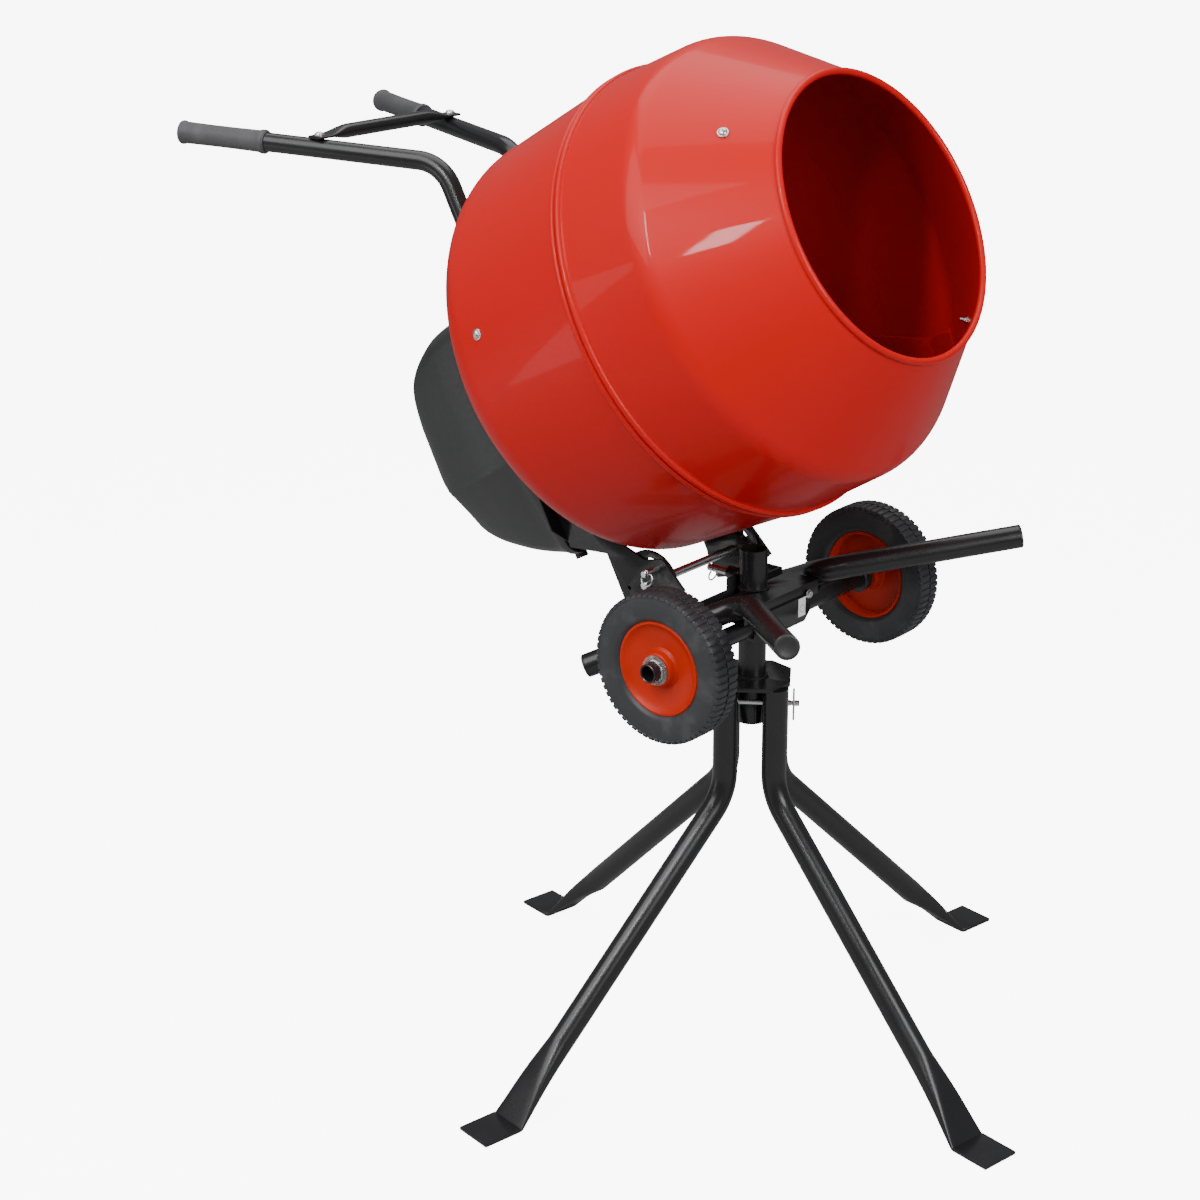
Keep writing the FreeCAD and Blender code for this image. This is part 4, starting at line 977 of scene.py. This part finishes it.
@dataclass
class Wheel:
    """Solid tyre with two rows of lugs, on a dished rim."""

    side_name: str
    lugs: int = 64
    groove: float = 1.3 * MM
    lug_high: float = 1.9 * MM
    lug_share: float = 0.76

    def build(self) -> None:
        """Builds and dresses the wheel."""
        side = SIDES[self.side_name]
        low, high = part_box("tyre_" + self.side_name)
        middle = (low + high) / 2
        body = "wheel_" + self.side_name
        axis = Axis(middle, Vector((0, side, 0)), FORWARD)
        outer, half = (high.z - low.z) / 2, (high.y - low.y) / 2
        rim_low, rim_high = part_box("rim_" + self.side_name)
        rim = (rim_high.z - rim_low.z) / 2
        carcass = self.carcass(outer - self.lug_high, half, rim, axis)
        rows = [self.lug_row(outer, half, axis, face) for face in (1, -1)]
        tread = merged("tyre_tread_" + self.side_name, [carcass, *rows])
        fit(tread, TYRE_RUBBER, body, "tyre_" + self.side_name)
        fit(self.dish(rim, half, axis), RIM_PLASTIC, body, "rim_" + self.side_name)

    def carcass(self, crown: float, half: float, rim: float, axis: Axis) -> bpy.types.Object:
        """Tyre under its lugs: side walls, shoulders and the middle groove."""
        outline = [*near(rim, -half, (-1, 6), (0.5, 4.5), (3, 1.2), (6, 0)),
                   *near(crown, -half, (-6, 0.4), (-2, 1.4), (0, 3.6)),
                   *near(crown, -self.groove, (0, -0.4)), *near(crown, 0, (-1.6, 0))]
        mirrored = [(radius, -height) for radius, height in reversed(outline[:-1])]
        return turned("carcass", outline + mirrored, axis, 128, joined=True)

    def lug_row(self, outer: float, half: float, axis: Axis, face: int) -> bpy.types.Object:
        """One row of cross lugs from the groove over the shoulder."""
        pitch = 2 * math.pi * outer / self.lugs
        base = outer - self.lug_high - MM
        crests = (near(self.groove, outer, (0, -0.3), (0.5, 0))
                  + near(half, outer, (-3, -0.2), (-0.8, -1.4), (-0.1, -5)))
        roots = near(self.groove, base, (0, 0), (0.6, 0)) + near(half, base, (-4, 0), (-2.6, -2), (-1.2, -4))
        wide, top = pitch * self.lug_share / 2, pitch * self.lug_share * 0.38
        rings = []
        for (height, crest), (root_height, root) in zip(crests, roots):
            flank = ((root, wide, root_height), (crest - 0.5 * MM, wide * 0.86, height), (crest, top, height))
            rings.append([Vector((out, -y, up * face)) for out, y, up in flank]
                         + [Vector((out, y, up * face)) for out, y, up in reversed(flank)])
        lug = skin("lug", rings)
        return repeated("lugs", lug, self.lugs, TYRE_RUBBER, axis, turn=360 / self.lugs,
                        first=0 if face > 0 else 180 / self.lugs)

    @staticmethod
    def dish(rim: float, half: float, axis: Axis) -> bpy.types.Object:
        """Moulded rim: rolled edge, shallow dish, raised hub and a plain back."""
        bore, hub = 16.6 * MM, 22 * MM
        outline = [*near(bore, half, (0, -0.2)),
                   *near(hub, half, (-1.5, -0.2), (0, -1.4), (1.5, -9), (5, -12.4)),
                   *near(rim, half, (-16, -10.5), (-8, -8), (-5, -5), (-3.4, -3.6), (-1.2, -3.8), (0, -5)),
                   *near(rim, -half, (0, 5), (-1.2, 3.8), (-3.4, 3.6), (-5, 6)), *near(rim, 0, (-6, -2)),
                   *near(hub, 0, (3, -2), (0, -4)), *near(hub, -half, (-0.8, 1)), *near(bore, -half, (0, 1))]
        side_name = "left" if axis.along.y > 0 else "right"
        return turned("rim_dish_" + side_name, outline, axis, 112, joined=True)


# ---------------------------------------------------------------- tilting unit

@dataclass
class Handles:
    """Two bent push handles with rubber grips, joined by a flattened brace."""

    tube: float = 13.5 * MM
    wall: float = 2 * MM
    bend: float = 60 * MM
    half_gap: float = 73 * MM
    depth: float = -334 * MM
    rise: float = 316 * MM
    foot: float = 60 * MM
    grip_end: tuple[float, float, float] = (-0.871, 0.198, 1.198)
    grip_length: float = 138 * MM
    grip: float = 17 * MM
    brace_back: float = 188 * MM

    def corners(self, side: int) -> list[Vector]:
        """Grip end, bend and foot of one handle."""
        x, y, z = self.grip_end
        return [Vector((x, side * y, z)), in_drum(-self.rise, side * self.half_gap, self.depth),
                in_drum(self.foot, side * self.half_gap, self.depth)]

    def build(self) -> None:
        """Builds and dresses both handles and the brace."""
        for name, side in SIDES.items():
            corners = self.corners(side)
            line = centreline(corners, [self.bend], 20)
            tube = hollow_tube("handle_bar_" + name, line, self.tube, self.wall)
            fit(tube, BLACK_POWDER, "tilt_unit", "handle_" + name)
            fit(self.sleeve(name, corners), GRIP_RUBBER, "tilt_unit", "grip_" + name)
        fit(self.brace(), BLACK_POWDER, "tilt_unit", "cross_brace")
        fit(self.bolts(), ZINC, "tilt_unit", "cross_brace_bolts")
        fit_softened("handle_clamps", "handle_saddles", 0.8, BLACK_POWDER, "tilt_unit")

    def sleeve(self, name: str, corners: Sequence[Vector]) -> bpy.types.Object:
        """Moulded grip with a domed end, a rolled collar and a shallow waist."""
        along = corners[1] - corners[0]
        full, neck, bore = self.grip, self.grip - 1.5 * MM, self.tube
        length = self.grip_length
        outline = [(0, 0), *near(bore, 0, (-2, 0)), *near(full, 0, (-3, 0.5), (-0.8, 1.8), (0, 4), (-0.3, 6)),
                   *near(neck, 0, (0, 8.5))]
        outline += [(neck - 0.5 * MM * math.sin(math.pi * share / 12),
                     9 * MM + (length - 21 * MM) * share / 12) for share in range(1, 12)]
        outline += [*near(neck, length, (0, -12)),
                    *near(full, length, (-0.4, -8.6), (0, -7), (0, -2.5), (-1.2, -0.8), (-2.2, 0)),
                    (bore, length), (bore, 3 * MM), (0, 3 * MM)]
        start = corners[0] - along.normalized() * 3 * MM
        return turned("grip_sleeve_" + name, outline, Axis(start, along), 56)

    def brace_ends(self) -> list[Vector]:
        """Points on the handles' middle lines under the brace's bolts."""
        ends = []
        for side in (-1, 1):
            grip, bend, _ = self.corners(side)
            ends.append(bend + (grip - bend).normalized() * self.brace_back)
        return ends

    def brace(self) -> bpy.types.Object:
        """Tube laid over both handles, with its ends pressed flat."""
        right, left = self.brace_ends()
        lift = self.tube + 2.7 * MM
        rings = []
        stops = 40
        for step in range(stops + 1):
            share = step / stops
            middle = right.lerp(left, share) + Vector((0, 0, lift))
            near_end = min(share, 1 - share) * (left - right).length
            press = 1 - min(1.0, max(0.0, (near_end - 10 * MM) / (44 * MM)))
            press = press * press * (3 - 2 * press)
            wide, high = 10 * MM + 3 * MM * press, 10 * MM - 8 * MM * press
            place = (middle + Vector((0, 0, 2 * MM * (1 - press))), FORWARD, UP)
            rings.append(oval(place, wide, high, 36, 2 + 3 * press))
        tab = Vector((0, 10 * MM, 0))
        ends = []
        for middle, shift in ((right, -1), (left, 1)):
            place = (middle + Vector((0, 0, lift)) + tab * shift, FORWARD, UP)
            ends.append(oval(place, 12 * MM, 1.9 * MM, 36, 5))
        return skin("handle_brace", [ends[0], *rings, ends[1]])

    def bolts(self) -> bpy.types.Object:
        """Domed bolt heads with washers on the brace."""
        heads = []
        for point in self.brace_ends():
            seat = point + Vector((0, 0, self.tube + 4.7 * MM))
            outline = near(0, 0, (0, 0), (8, 0), (8, 1.1), (6.6, 1.2), (6.4, 2.4), (5.2, 3.8), (3.2, 4.6),
                           (0, 4.9))
            heads.append(turned("head", outline, Axis(seat, UP), 32))
        return merged("brace_bolts", heads)


@dataclass
class MotorCover:
    """Moulded cover over the drive, wide at its rim, with a tapered lower half and a stepped flange."""

    rim: float = -352 * MM
    wall: float = 3 * MM
    steps: int = 7
    sections: tuple[tuple[float, float, float, float, float, float, float], ...] = (
        (-352, -118, 98, 248, 130, 96, 26), (-366, -118, 98, 248, 130, 96, 26),
        (-368, -114, 99, 244, 127, 92, 26), (-400, -112, 101, 236, 126.5, 90, 27),
        (-436, -106, 103, 222, 125.5, 88, 27), (-446, -103, 104, 217, 124, 87, 27),
        (-458, -99, 104, 211, 122.5, 86, 27), (-482, -88, 106, 199, 120, 84, 26),
        (-506, -72, 108, 180, 116, 82, 24), (-514, -58, 108, 168, 113, 80, 22),
        (-519, -48, 104, 140, 111, 78, 20), (-524, -34, 98, 114, 108, 76, 18),
        (-534, -10, 84, 92, 102, 74, 16), (-541, 14, 60, 66, 92, 68, 12))

    def build(self) -> None:
        """Builds and dresses the cover, its screws and vents."""
        fit(self.shell(), COVER_PLASTIC, "tilt_unit", "motor_cover")
        fit(self.vents(), COVER_PLASTIC, "tilt_unit")
        fit_softened("cover_screws", "cover_screw_heads", 0.9, ZINC, "tilt_unit")

    def ring(self, section: Sequence[float]) -> list[Vector]:
        """Rounded six-sided section of the cover at one depth.

        Args:
            section: Depth, top, waist, bottom, half width, half width at the bottom, corner radius, in mm.

        Returns:
            The section's points in the row's frame.
        """
        depth, top, waist, bottom, half, low_half, corner = (size * MM for size in section)
        waist = min(waist, bottom - corner * 0.6)
        flank = ((top, half), (waist, half), (bottom, low_half))
        corners = [Vector((x, -y, depth)) for x, y in flank]
        corners += [Vector((x, y, depth)) for x, y in reversed(flank)]
        side = (corners[2] - corners[1]).length
        low_corner = min(corner, side * 0.7)
        bends = [corner, 4 * MM, low_corner, low_corner, 4 * MM, corner]
        placement = drum_axis().matrix()
        return [placement @ point for point in closed_outline(corners, bends, self.steps)]

    def shell(self) -> bpy.types.Object:
        """Cover sheet with its wall."""
        rings = [self.ring(section) for section in self.sections]
        last = rings[-1]
        middle = sum(last, Vector()) / len(last)
        rings += [[point.lerp(middle, share) for point in last] for share in (0.35, 0.7)]
        work, rows = loft(rings)
        work.faces.new(rows[-1])
        bmesh.ops.recalc_face_normals(work, faces=work.faces)
        mesh = finished("cover_shell", work)
        outward = drum_axis().matrix().to_3x3() @ Vector((0, 0, -1))
        if mesh.polygons[len(mesh.polygons) - 1].normal.dot(outward) < 0:
            mesh.flip_normals()
        piece = new_object("cover_shell", mesh)
        smooth = piece.modifiers.new("smooth", "SUBSURF")
        smooth.levels = smooth.render_levels = 1
        wall = piece.modifiers.new("wall", "SOLIDIFY")
        wall.thickness = self.wall
        wall.offset = -1
        applied(piece)
        shade(piece.data, 40)
        return piece

    def vents(self) -> bpy.types.Object:
        """Row of raised louvres across the cover's back."""
        louvre = eased_block("louvre", spot(20, -34, -537.5), spot(25, 34, -533), 1.2 * MM)
        return repeated("cover_louvres", louvre, 7, COVER_PLASTIC, drum_axis(), step=spot(10, 0, 0))


@dataclass
class Drive:
    """Yoke, back plate and the drive under the cover."""

    fins: int = 24
    gear_teeth: int = 98

    def build(self) -> None:
        """Builds and dresses the yoke and the drive."""
        for node, ease in (("yoke_arm_left", 0.9), ("yoke_arm_right", 0.9), ("back_plate", 0.8)):
            fit_softened(node, node + "_shape", ease, BLACK_POWDER, "tilt_unit")
        fit_softened("switch_box", "switch_box_shape", 2.4, BLACK_PLASTIC, "tilt_unit")
        self.motor()
        self.gear()
        for button, finish in (("start_button", GREEN_PLASTIC), ("stop_button", RED_PLASTIC)):
            fit(self.button(button), finish, button, button)

    def motor(self) -> None:
        """Finned motor case with end bells."""
        low, high = self.local_span("motor_body")
        radius = 55 * MM
        outline = [(8.4 * MM, low), *near(radius, low, (-16, 0), (-9, 4), (-5, 16), (-4, 18)),
                   *near(radius, high, (-4, -18), (-5, -16), (-9, -4), (-16, 0)), (8.4 * MM, high)]
        case = turned("case", outline, drum_axis(), 72, joined=True)
        fin = eased_block("fin", Vector((radius - 5 * MM, -1.2 * MM, low + 20 * MM)),
                          Vector((radius, 1.2 * MM, high - 20 * MM)), 0.5 * MM, 0.7)
        fins = repeated("fins", fin, self.fins, CAST_ALLOY, drum_axis(), turn=360 / self.fins)
        fit(merged("motor_case", [case, fins]), CAST_ALLOY, "tilt_unit", "motor_body")

    @staticmethod
    def local_span(node: str) -> tuple[float, float]:
        """Lowest and highest point of a CAD node along the drum's axis."""
        back = drum_axis().matrix().inverted()
        heights = [(back @ corner.co).z for corner in frame["nodes"][node].data.vertices]
        return min(heights), max(heights)

    def gear(self) -> None:
        """Toothed drum gear with a webbed disc."""
        low, high = self.local_span("drum_gear")
        root, tip, bore = 94.5 * MM, 97.6 * MM, 12.6 * MM
        outline = [(bore, low), *near(0, low, (26, 0), (27, 4), (80, 4), (82, 0)), (root, low), (root, high),
                   *near(0, high, (82, 0), (80, -4), (27, -4), (26, 0)), (bore, high)]
        disc = turned("disc", outline, drum_axis(), 96, joined=True)
        tooth = eased_block("tooth", Vector((root - 0.5 * MM, -1.9 * MM, low)), Vector((tip, 1.9 * MM, high)),
                            0.2 * MM, 0.5)
        teeth = repeated("teeth", tooth, self.gear_teeth, CAST_IRON, drum_axis(), turn=360 / self.gear_teeth)
        fit(merged("toothed_gear", [disc, teeth]), CAST_IRON, "drum", "drum_gear")

    @staticmethod
    def button(node: str) -> bpy.types.Object:
        """Push button with a dished, rounded cap."""
        low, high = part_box(node)
        middle = (low + high) / 2
        radius = 11 * MM
        depth = high.y - low.y
        outline = [(0, 0), (radius, 0),
                   *near(radius, depth, (0, -1.8), (-0.6, -0.6), (-1.8, 0), (-4, 0), (-6, -0.5)),
                   *near(0, depth, (0, -0.8))]
        start = Vector((middle.x, low.y, middle.z))
        return turned(node + "_cap", outline, Axis(start, ACROSS, FORWARD), 44)


# ---------------------------------------------------------------- drum

@dataclass
class Drum:
    """Spun sheet drum: rear pot, front cone, seam ridges, screws and blades."""

    wall: float = 2 * MM
    seam: float = 304 * MM
    pot: float = 293 * MM
    pot_corner: float = -228 * MM
    base: float = 214 * MM
    base_depth: float = -310 * MM
    pot_round: float = 62 * MM
    crown: float = 296 * MM
    crown_height: float = 124 * MM
    crown_round: float = 52 * MM
    mouth: float = 190 * MM
    mouth_height: float = 262 * MM
    bead: float = 4.6 * MM
    screw_rows: tuple[tuple[float, float, bool], ...] = ((210 * MM, 48.5, True), (-176 * MM, 79.5, False))

    def build(self) -> None:
        """Builds and dresses the drum."""
        axis = drum_axis()
        for name, outline, node in (("drum_pot", self.pot_outline(), "drum_rear_shell"),
                                    ("drum_cone", self.cone_outline(), "drum_front_cone"),
                                    ("drum_seam", self.seam_outline(), "drum_seam_band")):
            fit(spun_sheet(name, outline, axis, RED_PAINT), RED_PAINT, "drum", node)
        for number in (1, 2):
            fit_softened("mixing_paddle_%d" % number, "blade_%d" % number, 1.2, RED_PAINT, "drum")
        fit_softened("drum_shaft", "shaft_and_hub", 0.8, BRIGHT_STEEL, "drum")
        self.screws()

    def sheet(self, corners: Sequence[tuple[float, float]],
              bends: Sequence[float]) -> list[tuple[float, float]]:
        """Closed outline of a sheet from its outer corners, walled inwards.

        Args:
            corners: Outer (radius, height) corners from back to front.
            bends: Radius at each inner corner.

        Returns:
            The outline's points, outside first.
        """
        outer = centreline([Vector((r, h, 0)) for r, h in corners], bends, 18)
        inner = []
        for place, point in enumerate(outer):
            run = outer[min(place + 1, len(outer) - 1)] - outer[max(place - 1, 0)]
            run.normalize()
            inner.append(point + Vector((-run.y, run.x, 0)) * self.wall)
        return [(p.x, p.y) for p in outer] + [(p.x, p.y) for p in reversed(inner)]

    def pot_outline(self) -> list[tuple[float, float]]:
        """Rear pot."""
        corners = [(44 * MM, self.base_depth), (self.base, self.base_depth), (self.pot, self.pot_corner),
                   (self.seam, -0.2 * MM)]
        return self.sheet(corners, [self.pot_round, self.pot_round])

    def cone_outline(self) -> list[tuple[float, float]]:
        """Front cone with a rolled bead at the mouth."""
        corners = [(self.seam, 0.2 * MM), (self.crown, self.crown_height), (self.mouth, self.mouth_height)]
        outline = self.sheet(corners, [self.crown_round])
        half = len(outline) // 2
        fall = math.atan2(self.mouth_height - self.crown_height, self.mouth - self.crown)
        centre = (self.mouth + math.cos(fall) * MM - 2 * MM, self.mouth_height + MM)
        roll = []
        for step in range(15):
            angle = math.radians(-50 + step * 20)
            roll.append((centre[0] + self.bead * math.cos(angle), centre[1] + self.bead * math.sin(angle)))
        return outline[:half - 1] + roll + outline[half + 1:]

    def seam_outline(self) -> list[tuple[float, float]]:
        """Two rounded ridges side by side over the seam."""
        ridge, gap = 4.2 * MM, 4.8 * MM
        low = self.seam - 0.8 * MM
        outline = [(low, -gap - ridge - 3 * MM)]
        for centre in (-gap, gap):
            for step in range(9):
                angle = math.radians(-90 + 22.5 * step)
                outline.append((low + 0.8 * MM + ridge * math.cos(angle), centre + ridge * math.sin(angle)))
        return outline + [(low, gap + ridge + 3 * MM), (low - 0.8 * MM, 0)]

    def surface(self, height: float) -> float:
        """Outer radius of the sheet at a height, on its straight flanks."""
        if height < 0:
            return self.seam + (self.pot - self.seam) * height / self.pot_corner
        share = (height - self.crown_height) / (self.mouth_height - self.crown_height)
        return self.crown + (self.mouth - self.crown) * share

    def screws(self) -> None:
        """Pan-head screws with washers at the blades' ends, and their nuts inside the cone."""
        rows = []
        for height, turn, on_cone in self.screw_rows:
            slope = math.atan2(self.crown - self.mouth, self.mouth_height - self.crown_height)
            lean = slope if on_cone else 0.0
            seat = Vector((self.surface(height) + 0.1 * MM, 0, height))
            out = Vector((math.cos(lean), 0, math.sin(lean)))
            head = self.screw_head(Axis(seat, out))
            rows.append(repeated("row", head, 2, ZINC, drum_axis(), turn=180, first=turn))
            inside = seat - out * (self.wall + 0.2 * MM)
            outline = near(0, 0, (0, 0), (8, 0), (8, 1.4), (5.2, 1.5), (5.2, 6), (3, 6.4), (2.8, 13),
                           (0, 13.6))
            nut = turned("nut", outline, Axis(inside, -out), 6)
            rows.append(repeated("nuts", nut, 2, ZINC, drum_axis(), turn=180, first=turn))
        fit(merged("drum_screw_heads", rows), ZINC, "drum", "drum_screws")

    @staticmethod
    def screw_head(axis: Axis) -> bpy.types.Object:
        """Domed head with a cross recess on a plain washer."""
        outline = near(0, 0, (0, 0), (7.2, 0), (7.4, 0.5), (7, 1.1), (5.6, 1.2), (5.5, 2.2), (4.6, 3.6),
                       (3, 4.4), (0, 4.6))
        head = turned("head", outline, axis, 28)
        cross = []
        for turn in (0, 90):
            slot = eased_block("slot", spot(-2.6, -0.5, 3), spot(2.6, 0.5, 6), 0.1 * MM)
            slot.data.transform(axis.matrix() @ Matrix.Rotation(math.radians(turn), 4, "Z"))
            cross.append(slot)
        cutter = merged("cross", cross)
        cut = head.modifiers.new("cut", "BOOLEAN")
        cut.operation = "DIFFERENCE"
        cut.object = cutter
        cut.solver = "EXACT"
        cut.use_self = True
        applied(head)
        bpy.data.objects.remove(cutter)
        return head


# ---------------------------------------------------------------- studio

@dataclass
class Studio:
    """Pale floor, soft lights and the camera."""

    azimuth: float = 38.7
    elevation: float = 19.8
    roll: float = 0.2
    distance: float = 3.22
    aim_right: float = -0.117
    aim_height: float = 0.658
    lens: float = 72.0
    shift: tuple[float, float] = (-0.055, -0.0125)
    room_light: float = 0.28
    room_seen: float = 9.0
    floor_glow: float = 8.0
    floor_half: float = 60.0

    def build(self) -> None:
        """Sets the floor, the lights, the surroundings and the camera."""
        self.floor()
        self.surroundings()
        right, _, back = self.directions()
        aim = Vector((-0.1, 0, 0.8))
        for name, place, size, power in (
                ("key", back * 1.5 - right * 2.3 + Vector((0, 0, 2.8)), (2.6, 2.6), 92.0),
                ("strip", back * 2.3 - right * 1.2 + Vector((0, 0, 2.2)), (0.12, 1.0), 30.0),
                ("spot", back * 2.3 - right * 0.5 + Vector((0, 0, 1.7)), (0.14, 0.3), 9.0),
                ("fill", back * 3.0 + right * 1.8 + Vector((0, 0, 0.9)), (1.6, 1.6), 20.0),
                ("mouth", Vector((1.9, -0.35, 1.75)), (0.9, 0.9), 22.0),
                ("side", -right * 2.6 + back * 0.6 + Vector((0, 0, 0.3)), (0.5, 1.6), 7.0),
                ("top", Vector((-0.6, 0.5, 3.2)), (2.4, 2.4), 48.0)):
            self.area(name, place, aim, size, power)
        self.camera()

    def directions(self) -> tuple[Vector, Vector, Vector]:
        """Right, up and back of the camera."""
        a, e = math.radians(self.azimuth), math.radians(self.elevation)
        right = Vector((math.cos(a), math.sin(a), 0))
        back = Vector((math.sin(a) * math.cos(e), -math.cos(a) * math.cos(e), math.sin(e)))
        return right, back.cross(right), back

    def floor(self) -> None:
        """Pale floor sheet, brighter to the eye than in what the paint mirrors."""
        half = self.floor_half
        mesh = bpy.data.meshes.new("floor")
        corners = [(-half, -half, 0), (half, -half, 0), (half, half, 0), (-half, half, 0)]
        mesh.from_pydata(corners, [], [(0, 1, 2, 3)])
        floor = new_object("floor", mesh)
        finish = bpy.data.materials.new("floor_sheet")
        finish.use_nodes = True
        nodes, links = finish.node_tree.nodes, finish.node_tree.links
        sheet = nodes["Principled BSDF"]
        sheet.inputs["Roughness"].default_value = 0.9
        sheet.inputs["Specular IOR Level"].default_value = 0.1
        sheet.inputs["Emission Color"].default_value = (1, 1, 1, 1)
        seen = nodes.new("ShaderNodeLightPath").outputs["Is Camera Ray"]
        tone = nodes.new("ShaderNodeMix")
        tone.data_type = "RGBA"
        links.new(seen, tone.inputs["Factor"])
        tone.inputs["A"].default_value = (0.40, 0.40, 0.40, 1)
        tone.inputs["B"].default_value = (0.90, 0.90, 0.90, 1)
        links.new(tone.outputs["Result"], sheet.inputs["Base Color"])
        glow = nodes.new("ShaderNodeMath")
        glow.operation = "MULTIPLY"
        links.new(seen, glow.inputs[0])
        glow.inputs[1].default_value = self.floor_glow
        links.new(glow.outputs[0], sheet.inputs["Emission Strength"])
        floor.data.materials.append(finish)

    def surroundings(self) -> None:
        """Pale to the eye, dimmer as a source of light."""
        world = bpy.data.worlds.new("studio")
        world.use_nodes = True
        nodes, links = world.node_tree.nodes, world.node_tree.links
        nodes["Background"].inputs["Color"].default_value = (0.97, 0.98, 1.0, 1)
        level = nodes.new("ShaderNodeMapRange")
        level.inputs["To Min"].default_value = self.room_light
        level.inputs["To Max"].default_value = self.room_seen
        links.new(nodes.new("ShaderNodeLightPath").outputs["Is Camera Ray"], level.inputs["Value"])
        links.new(level.outputs["Result"], nodes["Background"].inputs["Strength"])
        bpy.context.scene.world = world

    @staticmethod
    def area(name: str, place: Vector, aim: Vector, size: tuple[float, float], power: float) -> None:
        """Soft box aimed at a point."""
        light = bpy.data.lights.new(name, "AREA")
        light.shape = "RECTANGLE"
        light.size, light.size_y = size
        light.energy = power
        lamp = bpy.data.objects.new(name, light)
        lamp.location = place
        lamp.visible_camera = False
        lamp.rotation_euler = (aim - place).to_track_quat("-Z", "Y").to_euler()
        bpy.context.scene.collection.objects.link(lamp)

    def camera(self) -> None:
        """Camera at the chosen angle."""
        right, up, back = self.directions()
        data = bpy.data.cameras.new("camera")
        data.sensor_width = 36
        data.lens = self.lens
        data.shift_x, data.shift_y = self.shift
        camera = bpy.data.objects.new("camera", data)
        target = right * self.aim_right + Vector((0, 0, self.aim_height))
        turn = Matrix((right, up, back)).transposed().to_4x4()
        camera.matrix_world = (Matrix.Translation(target + back * self.distance) @ turn
                               @ Matrix.Rotation(math.radians(self.roll), 4, "Z"))
        bpy.context.scene.collection.objects.link(camera)
        bpy.context.scene.camera = camera


def dress_nodes() -> None:
    """Gives every CAD node its finish, shown or not."""
    for finish, names in NODE_FINISHES.items():
        for name in names.split():
            node = frame["nodes"][name]
            node.data.materials.clear()
            node.data.materials.append(finish.material())


def main() -> None:
    """Builds the mixer's looks."""
    logging.basicConfig(level=logging.INFO, format="%(name)s: %(message)s")
    dress_nodes()
    assemblies = [Stand(), RollingFrame(), Wheel("left"), Wheel("right"), Handles(), MotorCover(), Drive(),
                  Drum(), Studio()]
    for assembly in assemblies:
        assembly.build()


if __name__ == "__main__":
    main()
